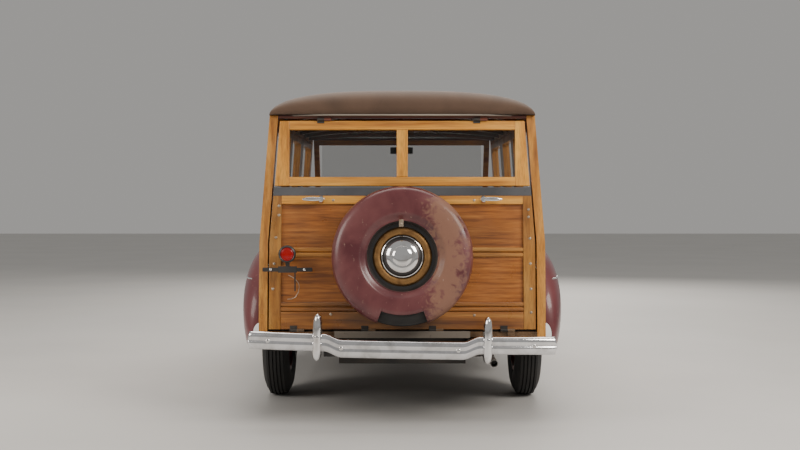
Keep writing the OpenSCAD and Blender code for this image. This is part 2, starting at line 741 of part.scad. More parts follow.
module exhaust_pipe() {
    color(steel) difference() {
        union() {
            rod([240, engine_y, 300], [240, 640, exhaust_z], 21);
            rod([240, 640, exhaust_z], [240, 160, exhaust_z], 66);
            rod([240, 160, exhaust_z], [470, -640, exhaust_z], 21);
            rod([470, -640, exhaust_z], [470, rear_axle_y - 260, exhaust_z], 21);
            rod([470, rear_axle_y - 260, exhaust_z], [tail_pipe[0], rear_y + 480, tail_pipe[1]], 21);
            translate([tail_pipe[0], rear_y + 480, tail_pipe[1]]) rotate([90, 0, 0]) cylinder(h = 310, r = 20);
            // hanger from the right rail to the muffler
            block(rail_x - 44, rail_x - 30.3, 380, 400, exhaust_z - 4, 400);
            block(240, rail_x - 30.3, 380, 400, exhaust_z - 4, exhaust_z + 4);
            for (p = [[470, -640, exhaust_z], [470, rear_axle_y - 260, exhaust_z],
                [tail_pipe[0], rear_y + 480, tail_pipe[1]]]) translate(p) sphere(r = 23);
        }
        translate([tail_pipe[0], rear_y + 260, tail_pipe[1]]) rotate([90, 0, 0]) cylinder(h = 100, r = 17);
    }
}

module fuel_tank() {
    color(black) {
        block(-340, 340, gate_y + 60, rear_axle_y - 350, 300, 439);
        for (x = [-200, 200]) block(x - 20, x + 20, gate_y + 110, rear_axle_y - 360, 439, load_floor_z - 0.3);
    }
}

module body_floor() {
    in_x = half_w - wall_t - 0.3;
    foot = gate_y + gate_t + gap + 6;
    color("#6E5434") difference() {
        union() {
            block(-in_x, in_x, load_floor_y, cowl_y, sill_z, sill_z + floor_t);
            block(-in_x, in_x, load_floor_y - floor_t, load_floor_y, sill_z, load_floor_z + floor_t);
            block(-in_x, in_x, foot, load_floor_y, load_floor_z, load_floor_z + floor_t);
            // rear sill under the tailgate
            block(-in_x, in_x, foot, foot + 40, gate_z - 13, load_floor_z);
            block(-in_x, in_x, gate_y - 3, foot + 40, gate_z - 40, gate_z - 12);
            both_sides() block(house_x, in_x, rear_axle_y - arch_r - 15, rear_axle_y + arch_r + 15,
                sill_z, tyre_r + arch_r + 20);
            on_gate() for (x = tail_hinges) gate_hinge(x, -gap / 2, false);
        }
        both_sides() translate([house_x + 10, rear_axle_y, tyre_r]) rotate([0, 90, 0]) cylinder(h = 300, r = arch_r, $fn = 96);
    }
}

// ---------- inside ----------
module seat(y, w, high, base_z) {
    // cushion and back
    block(-w, w, y, y + seat_deep, base_z + high, base_z + high + 150);
    hull() {
        block(-w, w, y - 70, y - 0.5, base_z + high + 60, base_z + high + 61);
        block(-w, w, y - 140, y - 60, base_z + high + 560, base_z + high + 561);
    }
}
module front_seat() { color(leather) seat(front_seat_y, 610, 190, sill_z + floor_t); }
module middle_seat() { color(leather) seat(middle_seat_y, 500, 190, sill_z + floor_t); }
module rear_seat() { color(leather) seat(rear_seat_y, 540, 130, load_floor_z + floor_t); }

module seat_frames() {
    color(steel) for (s = [[front_seat_y, 600, 190, sill_z + floor_t], [middle_seat_y, 490, 190, sill_z + floor_t],
        [rear_seat_y, 530, 130, load_floor_z + floor_t]])
        for (x = [-s[1], s[1] - 40]) {
            block(x, x + 40, s[0] + 20, s[0] + seat_deep - 20, s[3] + 0.3, s[3] + s[2] - 0.3);
        }
}

wheel_at = [-340, door_y - 290, 1060];
column_foot = [-340, firewall_y - 18.6, 700];
module steering_column() {
    color(black) union() {
        d = (wheel_at - column_foot) / norm(wheel_at - column_foot);
        rod(column_foot, wheel_at - 12 * d, 19);
        rod(wheel_at - 60 * d, wheel_at + 26 * d, 9);
    }
}

module on_column() {
    d = wheel_at - column_foot;
    translate(wheel_at) rotate([acos(d[2] / norm(d)), 0, 0]) children();
}

module steering_wheel() {
    color("#2B2320") on_column() difference() {
        union() {
            rotate_extrude($fn = 72) translate([205, 20]) circle(r = 13, $fn = 24);
            cylinder(h = 34, r = 32);
            for (a = [90, 210, 330]) rotate([0, 0, a]) translate([20, -11, 12]) cube([176, 22, 8]);
        }
        translate([0, 0, -1]) cylinder(h = 28, r = 9 + fit);
    }
}

// ---------- wheels and bumpers ----------
module wheel_disc(bore) {
    // rim, disc and drum, axis along Z, outer side up
    rotate_extrude($fn = 72) difference() {
        union() {
            polygon([[rim_r - 0.4, -56], [rim_r + 14, -60], [rim_r + 14, -66], [rim_r - 8, -66], [rim_r - 12, -50],
                     [rim_r - 30, -30], [rim_r - 30, 30], [rim_r - 12, 50], [rim_r - 8, 66], [rim_r + 14, 66],
                     [rim_r + 14, 60], [rim_r - 0.4, 56]]);
            polygon([[0, 30], [rim_r - 24, 24], [rim_r - 24, 8], [120, 22], [60, 8], [60, -40], [0, -40]]);
            translate([0, 28]) intersection() { scale([1, 0.42]) circle(r = 108, $fn = 60); square(120); }
        }
        translate([-1, -50]) square([bore + 1, 75]);
    }
}

module tyre_ring() {
    r0 = rim_r + 0.3;
    rc = (r0 + tyre_r) / 2;
    hr = (tyre_r - r0) / 2;
    rotate_extrude($fn = 96) polygon(concat([[r0, -52]],
        [for (a = [-140:14:140]) [rc + hr * spow(cos(a), 0.75), tyre_w / 2 * spow(sin(a), 0.85)]],
        [[r0, 52]]));
}

// Turns a part made along Z so that its outer side faces the car's side s, at a hub
module at_hub(s, track, y) {
    translate([s * track / 2, y, tyre_r]) rotate([0, 90 * s, 0]) children();
}
module road_wheel(s, track, y) { color(maroon) at_hub(s, track, y) wheel_disc(spindle_r + fit); }
module road_tyre(s, track, y) { color(rubber) at_hub(s, track, y) tyre_ring(); }
module front_left_wheel() { road_wheel(-1, front_track, front_axle_y); }
module front_left_tyre() { road_tyre(-1, front_track, front_axle_y); }
module front_right_wheel() { road_wheel(1, front_track, front_axle_y); }
module front_right_tyre() { road_tyre(1, front_track, front_axle_y); }
module rear_left_wheel() { road_wheel(-1, rear_track, rear_axle_y); }
module rear_left_tyre() { road_tyre(-1, rear_track, rear_axle_y); }
module rear_right_wheel() { road_wheel(1, rear_track, rear_axle_y); }
module rear_right_tyre() { road_tyre(1, rear_track, rear_axle_y); }

module right_knuckle() {
    eye = 32;
    color(steel) translate([kp_x, front_axle_y, tyre_r - 10]) {
        cylinder(h = 2 * eye + 40, r = king_r, center = true);
        for (s = [-1, 1]) translate([0, 0, s > 0 ? eye + hinge_gap : -eye - 22 - hinge_gap]) {
            cylinder(h = 22, r = 27);
            translate([0, -27, 0]) cube([42, 54, 22]);
        }
        translate([31, -30, -eye - 22]) cube([14, 60, 2 * eye + 44]);
        translate([40, 0, 10]) rotate([0, 90, 0]) cylinder(h = front_track / 2 + 18 - kp_x - 40, r = spindle_r);
        translate([40, 0, 10]) rotate([0, 90, 0]) cylinder(h = 14, r = 138);
    }
}
module left_knuckle() { mirror([1, 0, 0]) right_knuckle(); }

function bar_bow(x) = 66 * pow(abs(x) / (bumper_w / 2), 2.6);
function bar_back(x) = guard_out + 13.1 + bar_bow(x);
function bar_ring(x, z_of, z_half) = let (h = z_half, d = bumper_d, back = bar_bow(x))
    [for (q = [[d, h], [d * 0.4, h], [7, h - 8], [0, h * 0.35], [4, 0], [0, -h * 0.35], [7, 8 - h], [d * 0.4, -h], [d, -h],
        [d, 6 - h], [d * 0.5, 6 - h], [13, 11 - h], [10, 0], [13, h - 11], [d * 0.5, h - 6], [d, h - 6]])
        [x, q[0] + back, q[1] + z_of]];
function dip_at(x, dip) = let (t = max(0, min(1, (abs(x) - 310) / 90))) -dip * (1 - t * t * (3 - 2 * t));

// Bumper bar with its outer face at y = 0 and the car on the +y side
module bumper_bar(dip) {
    m = 40;
    loft([for (i = [0:m]) let (k = -1 + 2 * i / m, x = bumper_w / 2 * sin(90 * k) * 0.3 + bumper_w / 2 * k * 0.7)
        bar_ring(x, dip_at(x, dip), max(18, bumper_h / 2 * dome(k, 30)))]);
}

module bumper_guard(x, z0, z1) {
    deep = guard_out + bar_bow(x) + 12;
    hull() {
        translate([x - guard_w / 2, -guard_out, z0]) cube([guard_w, deep, 20]);
        translate([x - guard_w / 2, -guard_out, z0 + 110]) cube([guard_w, deep, 20]);
        translate([x - guard_w / 2 + 8, 6 - guard_out, z1 - 40]) cube([guard_w - 16, deep - 12, 10]);
        translate([x - guard_w / 2 + 14, 14 - guard_out, z1 - 6]) cube([guard_w - 28, 16, 6]);
    }
}

module rear_bumper() {
    color(chrome) translate([0, rear_y + guard_out, bumper_z]) rotate([0, bumper_tilt, 0]) {
        bumper_bar(bumper_dip);
        for (s = [-1, 1]) bumper_guard(s * guard_x, -92, 150);
    }
}

module front_bumper() {
    color(chrome) translate([0, front_y - guard_out, bumper_z]) mirror([0, 1, 0]) {
        bumper_bar(0);
        for (s = [-1, 1]) bumper_guard(s * (guard_x - 120), -80, 120);
    }
}

// ---------- spare ----------
module on_spare() {
    on_gate() translate([0, -spare_w, spare_v]) rotate([90, 0, 0]) children();
}
module spare_wheel() { color("#8A6A3C") on_spare() wheel_disc(spindle_r); }
module spare_tyre() { color(rubber) on_spare() tyre_ring(); }
module spare_cover() {
    r = tyre_r + cover_gap;
    h = tyre_w / 2 + cover_gap;
    t = cover_t;
    color(maroon) on_spare() difference() {
        rotate_extrude($fn = 96) polygon([[r, -60], [r, 44], [r - 14, h - 10], [r - 38, h], [280, h + 6], [245, h + 4],
            [216, h], [186, h - 8], [186, h - 8 + t], [216, h + t], [245, h + 4 + t], [280, h + 6 + t],
            [r - 36, h + t], [r - 10, h - 6], [r + t, 46], [r + t, -60]]);
        // the band stands open at its foot
        translate([0, -r - 10, -62]) linear_extrude(128) polygon([[-150, -30], [150, -30], [104, 68], [-104, 68]]);
    }
}
module spare_carrier() {
    color(steel) on_gate() union() {
        translate([-ear_x - 20, -ear_w, pivot_v]) rotate([0, 90, 0]) cylinder(h = 2 * ear_x + 40, r = pin_r);
        for (x = [-30, 14]) translate([x, -ear_w - 9, spare_v]) cube([16, 18, pivot_v - spare_v]);
        translate([0, -ear_w + 9, spare_v]) rotate([90, 0, 0]) cylinder(h = spare_w - 40.3 - ear_w + 9, r = 60);
        translate([0, -ear_w + 9, spare_v]) rotate([90, 0, 0]) cylinder(h = spare_w - ear_w + 9 + 20, r = spindle_r - 0.3);
    }
}

chassis_frame();
front_axle();
rear_axle();
engine_block();
exhaust_pipe();
fuel_tank();
body_floor();
cowl();
windshield_frame();
windshield_glass();
front_clip();
front_fenders();
headlamps();
rear_fenders();
running_boards();
left_body_side();
right_body_side();
quarter_glass();
roof_bows();
roof_cover();
front_seat();
middle_seat();
rear_seat();
seat_frames();
steering_column();
steering_wheel();
front_bumper();
rear_bumper();
hood();
left_knuckle();
right_knuckle();
front_left_wheel();
front_left_tyre();
front_right_wheel();
front_right_tyre();
rear_left_wheel();
rear_left_tyre();
rear_right_wheel();
rear_right_tyre();
front_left_door();
front_left_glass();
front_right_door();
front_right_glass();
rear_left_door();
rear_left_glass();
rear_right_door();
rear_right_glass();
liftgate();
liftgate_glass();
tailgate();
tailgate_cap();
tailgate_latches();
tail_lamp();
spare_carrier();
spare_wheel();
spare_tyre();
spare_cover();
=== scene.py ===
"""Looks of a wood-bodied station wagon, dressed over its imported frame.

Lengths are metres. +Y is the front of the car, +X its right side and +Z is up.
"""

import json
import logging
import math
from dataclasses import dataclass, field
from enum import Enum
from typing import Callable, Sequence

import bmesh
import bpy
from mathutils import Matrix, Vector

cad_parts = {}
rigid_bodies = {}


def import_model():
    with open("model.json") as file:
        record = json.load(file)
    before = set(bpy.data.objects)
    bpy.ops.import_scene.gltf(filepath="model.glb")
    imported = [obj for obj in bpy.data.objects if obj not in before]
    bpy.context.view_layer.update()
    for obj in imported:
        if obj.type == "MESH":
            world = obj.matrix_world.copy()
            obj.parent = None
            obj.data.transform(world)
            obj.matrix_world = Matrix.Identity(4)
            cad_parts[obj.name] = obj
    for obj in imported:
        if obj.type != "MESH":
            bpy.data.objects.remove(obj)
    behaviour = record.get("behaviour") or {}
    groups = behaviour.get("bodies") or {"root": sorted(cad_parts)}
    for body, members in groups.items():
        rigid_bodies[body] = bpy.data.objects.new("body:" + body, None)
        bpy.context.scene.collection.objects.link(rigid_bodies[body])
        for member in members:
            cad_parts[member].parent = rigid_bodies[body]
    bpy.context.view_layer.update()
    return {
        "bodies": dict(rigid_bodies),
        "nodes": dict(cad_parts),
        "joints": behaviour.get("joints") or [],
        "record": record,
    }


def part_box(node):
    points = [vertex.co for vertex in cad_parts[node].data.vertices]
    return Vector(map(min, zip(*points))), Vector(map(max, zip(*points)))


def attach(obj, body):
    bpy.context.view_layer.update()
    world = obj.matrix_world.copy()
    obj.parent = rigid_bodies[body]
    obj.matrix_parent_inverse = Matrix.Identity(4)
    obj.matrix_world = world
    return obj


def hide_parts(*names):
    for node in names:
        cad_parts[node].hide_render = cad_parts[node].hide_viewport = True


logging.basicConfig(level=logging.INFO, format="%(message)s")
log = logging.getLogger("wagon")

Point = Sequence[float]
Colour = tuple[float, float, float]
WHOLE = (0.0, 360.0)
EVEN = (1.0, 1.0, 1.0)
BACK = Vector((0, -1, 0))
AHEAD = Vector((0, 1, 0))
SIDES = ((-1, "left"), (1, "right"))


class Axis(Enum):
    """Direction along which a grain or a weave runs."""

    X = 0
    Y = 1
    Z = 2


# ---------------------------------------------------------------- finishes
class Shader:
    """A material under construction, with short calls for the nodes used here."""

    def __init__(self, name: str) -> None:
        """Starts a Principled material of this name.

        Args:
            name: Name of the material.
        """
        self.material = bpy.data.materials.new(name)
        self.material.use_nodes = True
        self.tree = self.material.node_tree
        self.bsdf = self.tree.nodes["Principled BSDF"]
        self.where = self.tree.nodes.new("ShaderNodeTexCoord").outputs["Object"]

    def set(self, **values: float | tuple) -> None:
        """Sets plain values on the shader's own sockets, by name with underscores.

        Args:
            values: Value of each socket.
        """
        for key, value in values.items():
            socket = self.bsdf.inputs[key.replace("_", " ")]
            socket.default_value = (*value, 1.0) if isinstance(value, tuple) else value

    def plug(self, socket: str, source: bpy.types.NodeSocket) -> None:
        """Feeds one of the shader's inputs."""
        self.tree.links.new(source, self.bsdf.inputs[socket])

    def stretched(self, scale: Point) -> bpy.types.NodeSocket:
        """Returns object coordinates scaled per axis.

        Args:
            scale: Factor on each axis.

        Returns:
            The scaled coordinates.
        """
        node = self.tree.nodes.new("ShaderNodeMapping")
        node.inputs["Scale"].default_value = scale
        self.tree.links.new(self.where, node.inputs["Vector"])
        return node.outputs[0]

    def noise(self, scale: float, stretch: Point = EVEN, detail: float = 5.0,
              twist: float = 0.0) -> bpy.types.NodeSocket:
        """Adds fractal noise.

        Args:
            scale: Features per metre along an unstretched axis.
            stretch: Per-axis factor on the scale.
            detail: Octaves.
            twist: Distortion.

        Returns:
            The noise's value socket.
        """
        node = self.tree.nodes.new("ShaderNodeTexNoise")
        node.inputs["Scale"].default_value = scale
        node.inputs["Detail"].default_value = detail
        node.inputs["Distortion"].default_value = twist
        self.tree.links.new(self.stretched(stretch), node.inputs["Vector"])
        return node.outputs["Fac"]

    def ramp(self, value: bpy.types.NodeSocket, *stops: tuple[float, Colour | float]) -> bpy.types.NodeSocket:
        """Maps a value to colours or greys given as (position, colour) stops.

        Args:
            value: Socket that is looked up.
            stops: Places from 0 to 1, each with its colour or grey.

        Returns:
            The colour socket.
        """
        node = self.tree.nodes.new("ShaderNodeValToRGB")
        band = node.color_ramp
        while len(band.elements) < len(stops):
            band.elements.new(0.5)
        for element, (place, colour) in zip(band.elements, stops):
            element.position = place
            element.color = (*colour, 1) if isinstance(colour, tuple) else (colour, colour, colour, 1)
        self.tree.links.new(value, node.inputs[0])
        return node.outputs[0]

    def mix(self, a: bpy.types.NodeSocket | Colour, b: bpy.types.NodeSocket | Colour,
            amount: bpy.types.NodeSocket | float, mode: str = "MIX") -> bpy.types.NodeSocket:
        """Blends two colours.

        Args:
            a: First colour or socket.
            b: Second colour or socket.
            amount: Share of the second.
            mode: Blend mode.

        Returns:
            The blended colour socket.
        """
        node = self.tree.nodes.new("ShaderNodeMix")
        node.data_type = "RGBA"
        node.blend_type = mode
        for value, socket in ((amount, node.inputs[0]), (a, node.inputs[6]), (b, node.inputs[7])):
            if isinstance(value, bpy.types.NodeSocket):
                self.tree.links.new(value, socket)
            else:
                socket.default_value = (*value, 1) if isinstance(value, tuple) else value
        return node.outputs[2]

    def math(self, operation: str, a: bpy.types.NodeSocket | float,
             b: bpy.types.NodeSocket | float = 0.0) -> bpy.types.NodeSocket:
        """Adds a math node on two values.

        Args:
            operation: What the node does.
            a: First value or socket.
            b: Second value or socket.

        Returns:
            The result's socket.
        """
        node = self.tree.nodes.new("ShaderNodeMath")
        node.operation = operation
        for value, socket in ((a, node.inputs[0]), (b, node.inputs[1])):
            if isinstance(value, bpy.types.NodeSocket):
                self.tree.links.new(value, socket)
            else:
                socket.default_value = value
        return node.outputs[0]

    def part_of(self, axis: Axis) -> bpy.types.NodeSocket:
        """Returns one object coordinate.

        Args:
            axis: Which coordinate.

        Returns:
            Its socket.
        """
        node = self.tree.nodes.new("ShaderNodeSeparateXYZ")
        self.tree.links.new(self.where, node.inputs[0])
        return node.outputs[axis.value]

    def bump(self, height: bpy.types.NodeSocket, strength: float, depth: float) -> None:
        """Stacks a bump on the normal.

        Args:
            height: Socket that gives the relief.
            strength: Share of the relief that is used.
            depth: Height of the relief in metres.
        """
        node = self.tree.nodes.new("ShaderNodeBump")
        node.inputs["Strength"].default_value = strength
        node.inputs["Distance"].default_value = depth
        self.tree.links.new(height, node.inputs["Height"])
        old = self.bsdf.inputs["Normal"]
        if old.is_linked:
            self.tree.links.new(old.links[0].from_socket, node.inputs["Normal"])
        self.tree.links.new(node.outputs[0], old)


def along(axis: Axis, slow: float, fast: float) -> tuple[float, float, float]:
    """Returns scale factors that stretch a pattern along one axis."""
    return tuple(slow if k == axis.value else fast for k in range(3))


@dataclass(frozen=True)
class Wood:
    """Varnished wood with streaked grain, pores and weathered stains."""

    name: str
    light: Colour
    mid: Colour
    dark: Colour
    axis: Axis
    fine: float = 26.0
    weather: float = 0.25

    def build(self) -> bpy.types.Material:
        """Builds the material.

        Returns:
            The finished material.
        """
        s = Shader(self.name)
        s.set(Roughness=0.4, Coat_Weight=0.35, Coat_Roughness=0.18)
        bands = s.noise(self.fine, along(self.axis, 0.06, 1.0), 4.0, 0.35)
        pores = s.noise(self.fine * 9, along(self.axis, 0.03, 1.0), 3.0)
        tone = s.ramp(bands, (0.3, self.dark), (0.5, self.mid), (0.72, self.light))
        streak = s.ramp(pores, (0.34, 0.45), (0.56, 1.0))
        tone = s.mix(tone, streak, 0.5, "MULTIPLY")
        stain = s.ramp(s.noise(3.1, along(self.axis, 0.5, 1.0), 6.0, 0.6), (0.5, 0.0), (0.78, 1.0))
        grey = (0.035, 0.026, 0.019)
        tone = s.mix(tone, grey, s.math("MULTIPLY", stain, self.weather * 2.0))
        s.plug("Base Color", tone)
        s.plug("Roughness", s.ramp(s.noise(9, EVEN, 4.0), (0.3, 0.27), (0.75, 0.55)))
        s.bump(pores, 0.28, 0.0008)
        s.bump(bands, 0.12, 0.0015)
        return s.material


@dataclass(frozen=True)
class Paint:
    """Old gloss paint, chalked and scuffed in places."""

    name: str
    base: Colour
    faded: Colour
    scuff: Colour
    worn: float = 0.5
    gloss: float = 0.3

    def build(self) -> bpy.types.Material:
        """Builds the material.

        Returns:
            The finished material.
        """
        s = Shader(self.name)
        s.set(Coat_Weight=0.4, Coat_Roughness=0.12)
        cloud = s.noise(2.6, EVEN, 7.0, 0.4)
        tone = s.ramp(cloud, (0.32, self.base), (0.7, self.faded))
        specks = s.ramp(s.noise(46, EVEN, 6.0, 0.3), (0.62, 0.0), (0.72, 1.0))
        tone = s.mix(tone, self.scuff, s.math("MULTIPLY", specks, self.worn))
        s.plug("Base Color", tone)
        s.plug("Roughness", s.ramp(cloud, (0.3, self.gloss), (0.75, self.gloss + 0.25)))
        s.bump(s.noise(160, EVEN, 3.0), 0.06, 0.0006)
        return s.material


@dataclass(frozen=True)
class CoverPaint:
    """The spare cover's burgundy, with a rubbed tan patch on the car's right."""

    name: str
    base: Colour
    faded: Colour
    bare: Colour
    centre: Point

    def build(self) -> bpy.types.Material:
        """Builds the material.

        Returns:
            The finished material.
        """
        s = Shader(self.name)
        s.set(Coat_Weight=0.3, Coat_Roughness=0.2)
        cloud = s.noise(5.5, EVEN, 8.0, 0.5)
        tone = s.ramp(cloud, (0.34, self.base), (0.68, self.faded))
        x = s.math("SUBTRACT", s.part_of(Axis.X), self.centre[0] + 0.17)
        side = s.math("SUBTRACT", 1.0, s.math("MULTIPLY", s.math("ABSOLUTE", s.math("SUBTRACT", x, 0.06)), 5.2))
        grit = s.noise(30, EVEN, 9.0, 0.8)
        patch = s.ramp(s.math("ADD", s.math("MULTIPLY", side, 0.42), s.math("MULTIPLY", grit, 0.62)),
                       (0.5, 0.0), (0.64, 1.0))
        tone = s.mix(tone, self.bare, s.math("MULTIPLY", patch, 0.72))
        chips = s.ramp(s.noise(85, (1, 1, 0.5), 5.0, 0.5), (0.66, 0.0), (0.72, 1.0))
        tone = s.mix(tone, (0.34, 0.22, 0.17), s.math("MULTIPLY", chips, 0.7))
        s.plug("Base Color", tone)
        s.plug("Roughness", s.ramp(s.math("ADD", s.math("MULTIPLY", patch, 0.5), s.math("MULTIPLY", cloud, 0.5)),
                                   (0.2, 0.28), (0.7, 0.7)))
        s.bump(grit, 0.15, 0.001)
        return s.material


@dataclass(frozen=True)
class Metal:
    """Plated or bare metal with a worn film."""

    name: str
    tone: Colour
    film: Colour
    shine: float
    worn: float

    def build(self) -> bpy.types.Material:
        """Builds the material.

        Returns:
            The finished material.
        """
        s = Shader(self.name)
        s.set(Metallic=1.0)
        cloud = s.noise(14, EVEN, 8.0, 0.6)
        pits = s.ramp(s.noise(190, EVEN, 5.0), (0.62, 0.0), (0.74, 1.0))
        tone = s.mix(s.ramp(cloud, (0.45, self.tone), (0.82, self.film)), self.film,
                     s.math("MULTIPLY", pits, self.worn))
        s.plug("Base Color", tone)
        s.plug("Roughness", s.ramp(cloud, (0.35, self.shine), (0.8, self.shine + 0.22 * self.worn + 0.05)))
        s.bump(s.noise(24, EVEN, 3.0), 0.1, 0.0012 * self.worn)
        return s.material


@dataclass(frozen=True)
class Canvas:
    """Coated roof canvas: a plain weave under a dusty, weathered dressing."""

    name: str
    light: Colour
    dark: Colour

    def build(self) -> bpy.types.Material:
        """Builds the material.

        Returns:
            The finished material.
        """
        s = Shader(self.name)
        s.set(Roughness=0.85, Sheen_Weight=0.15, Sheen_Roughness=0.5)
        cloud = s.noise(3.0, (1, 0.6, 1), 9.0, 0.7)
        grain = s.noise(420, EVEN, 2.0)
        tone = s.mix(s.ramp(cloud, (0.3, self.dark), (0.72, self.light)), s.ramp(grain, (0.3, 0.6), (0.7, 1.0)),
                     0.6, "MULTIPLY")
        s.plug("Base Color", tone)
        weave = s.tree.nodes.new("ShaderNodeTexWave")
        weave.inputs["Scale"].default_value = 130
        s.tree.links.new(s.where, weave.inputs["Vector"])
        s.bump(weave.outputs["Fac"], 0.2, 0.0006)
        s.bump(grain, 0.4, 0.0008)
        s.bump(cloud, 0.3, 0.004)
        return s.material


@dataclass(frozen=True)
class Coat:
    """A plain surface such as rubber, leather or enamel, with mottling, dust and grain."""

    name: str
    dark: Colour
    light: Colour
    rough: float = 0.6
    grain: float = 120.0
    relief: float = 0.0008
    shine: float = 0.0

    def build(self) -> bpy.types.Material:
        """Builds the material.

        Returns:
            The finished material.
        """
        s = Shader(self.name)
        s.set(Coat_Weight=self.shine, Coat_Roughness=0.15)
        cloud = s.noise(7, EVEN, 8.0, 0.4)
        s.plug("Base Color", s.ramp(cloud, (0.32, self.dark), (0.75, self.light)))
        s.plug("Roughness", s.ramp(cloud, (0.3, max(0.05, self.rough - 0.1)), (0.8, min(1.0, self.rough + 0.12))))
        cells = s.tree.nodes.new("ShaderNodeTexVoronoi")
        cells.inputs["Scale"].default_value = self.grain
        s.tree.links.new(s.where, cells.inputs["Vector"])
        s.bump(cells.outputs["Distance"], 0.35, self.relief)
        return s.material


@dataclass(frozen=True)
class Pane:
    """Old flat glass, or a coloured lens."""

    name: str
    tint: Colour
    cover: float
    glow: float = 0.0

    def build(self) -> bpy.types.Material:
        """Builds the material.

        Returns:
            The finished material.
        """
        s = Shader(self.name)
        s.set(Roughness=0.03, Alpha=self.cover, Base_Color=self.tint)
        if self.glow:
            s.set(Emission_Color=self.tint, Emission_Strength=self.glow)
        s.bump(s.noise(5, EVEN, 2.0), 0.05, 0.002)
        dust = s.noise(11, EVEN, 8.0, 0.3)
        s.plug("Roughness", s.ramp(dust, (0.4, 0.02), (0.85, 0.16)))
        return s.material


ASH = ((0.74, 0.36, 0.075), (0.56, 0.235, 0.04), (0.32, 0.115, 0.018))
GOLD = ((0.88, 0.45, 0.08), (0.74, 0.32, 0.045), (0.44, 0.16, 0.02))
MAHOGANY = ((0.56, 0.21, 0.04), (0.40, 0.13, 0.02), (0.21, 0.062, 0.01))
AGED = ((0.55, 0.25, 0.06), (0.38, 0.145, 0.03), (0.17, 0.06, 0.018))
FINISHES = [
    Wood("ash_along_x", *ASH, Axis.X), Wood("ash_along_y", *ASH, Axis.Y), Wood("ash_along_z", *ASH, Axis.Z),
    Wood("gold_along_x", *GOLD, Axis.X, weather=0.1), Wood("gold_along_z", *GOLD, Axis.Z, weather=0.12),
    Wood("stile_wood", *tuple(tuple(0.72 * c for c in t) for t in ASH), Axis.Z, weather=0.3),
    Wood("mahogany_along_x", *MAHOGANY, Axis.X, fine=60.0, weather=0.2),
    Wood("mahogany_along_y", *MAHOGANY, Axis.Y, fine=60.0, weather=0.15),
    Wood("aged_along_x", *AGED, Axis.X, fine=34.0, weather=0.55),
    Wood("bow_wood", (0.2, 0.055, 0.03), (0.13, 0.032, 0.018), (0.07, 0.018, 0.01), Axis.X, weather=0.1),
    Wood("floor_boards", (0.2, 0.12, 0.06), (0.14, 0.08, 0.04), (0.07, 0.04, 0.02), Axis.Y, weather=0.4),
    Paint("burgundy", (0.085, 0.012, 0.017), (0.17, 0.034, 0.038), (0.3, 0.15, 0.11), 0.35),
    Paint("sill_paint", (0.2, 0.17, 0.14), (0.29, 0.25, 0.2), (0.12, 0.09, 0.07), 0.5, 0.5),
    Paint("cap_paint", (0.05, 0.052, 0.058), (0.095, 0.097, 0.105), (0.03, 0.03, 0.03), 0.4, 0.42),
    Metal("chrome", (0.82, 0.82, 0.84), (0.46, 0.45, 0.44), 0.09, 0.55),
    Metal("bright_chrome", (0.86, 0.86, 0.87), (0.55, 0.5, 0.46), 0.05, 0.35),
    Metal("bolt_steel", (0.5, 0.42, 0.33), (0.25, 0.17, 0.11), 0.38, 0.8),
    Metal("wheel_gold", (0.34, 0.19, 0.075), (0.1, 0.05, 0.024), 0.42, 1.0),
    Metal("raw_steel", (0.32, 0.31, 0.3), (0.13, 0.1, 0.08), 0.45, 1.0),
    Canvas("roof_canvas", (0.135, 0.076, 0.046), (0.078, 0.043, 0.026)),
    Coat("tyre_rubber", (0.012, 0.012, 0.013), (0.035, 0.033, 0.031), 0.78, 260.0),
    Coat("chassis_black", (0.012, 0.012, 0.012), (0.06, 0.05, 0.042), 0.7, 90.0),
    Coat("lamp_black", (0.012, 0.012, 0.013), (0.035, 0.03, 0.028), 0.45, 200.0, 0.0004, 0.3),
    Coat("seat_leather", (0.13, 0.04, 0.025), (0.24, 0.085, 0.05), 0.5, 320.0, 0.0009, 0.1),
    Coat("wheel_plastic", (0.03, 0.015, 0.012), (0.06, 0.032, 0.025), 0.3, 60.0, 0.0002, 0.5),
    Coat("seal_rubber", (0.015, 0.015, 0.016), (0.04, 0.04, 0.042), 0.7, 300.0),
    Coat("slat_light", (0.42, 0.3, 0.17), (0.6, 0.45, 0.28), 0.5, 80.0, 0.0004, 0.3),
    Coat("slat_dark", (0.1, 0.025, 0.015), (0.2, 0.06, 0.035), 0.45, 80.0, 0.0004, 0.4),
    Coat("gauge_cream", (0.5, 0.45, 0.33), (0.62, 0.57, 0.44), 0.4, 40.0, 0.0001, 0.4),
    Pane("window_glass", (0.03, 0.035, 0.035), 0.16),
    Pane("red_lens", (0.33, 0.003, 0.004), 1.0, 0.04),
    Pane("clear_lens", (0.75, 0.76, 0.74), 0.55),
]
MATERIALS: dict[str, bpy.types.Material] = {}


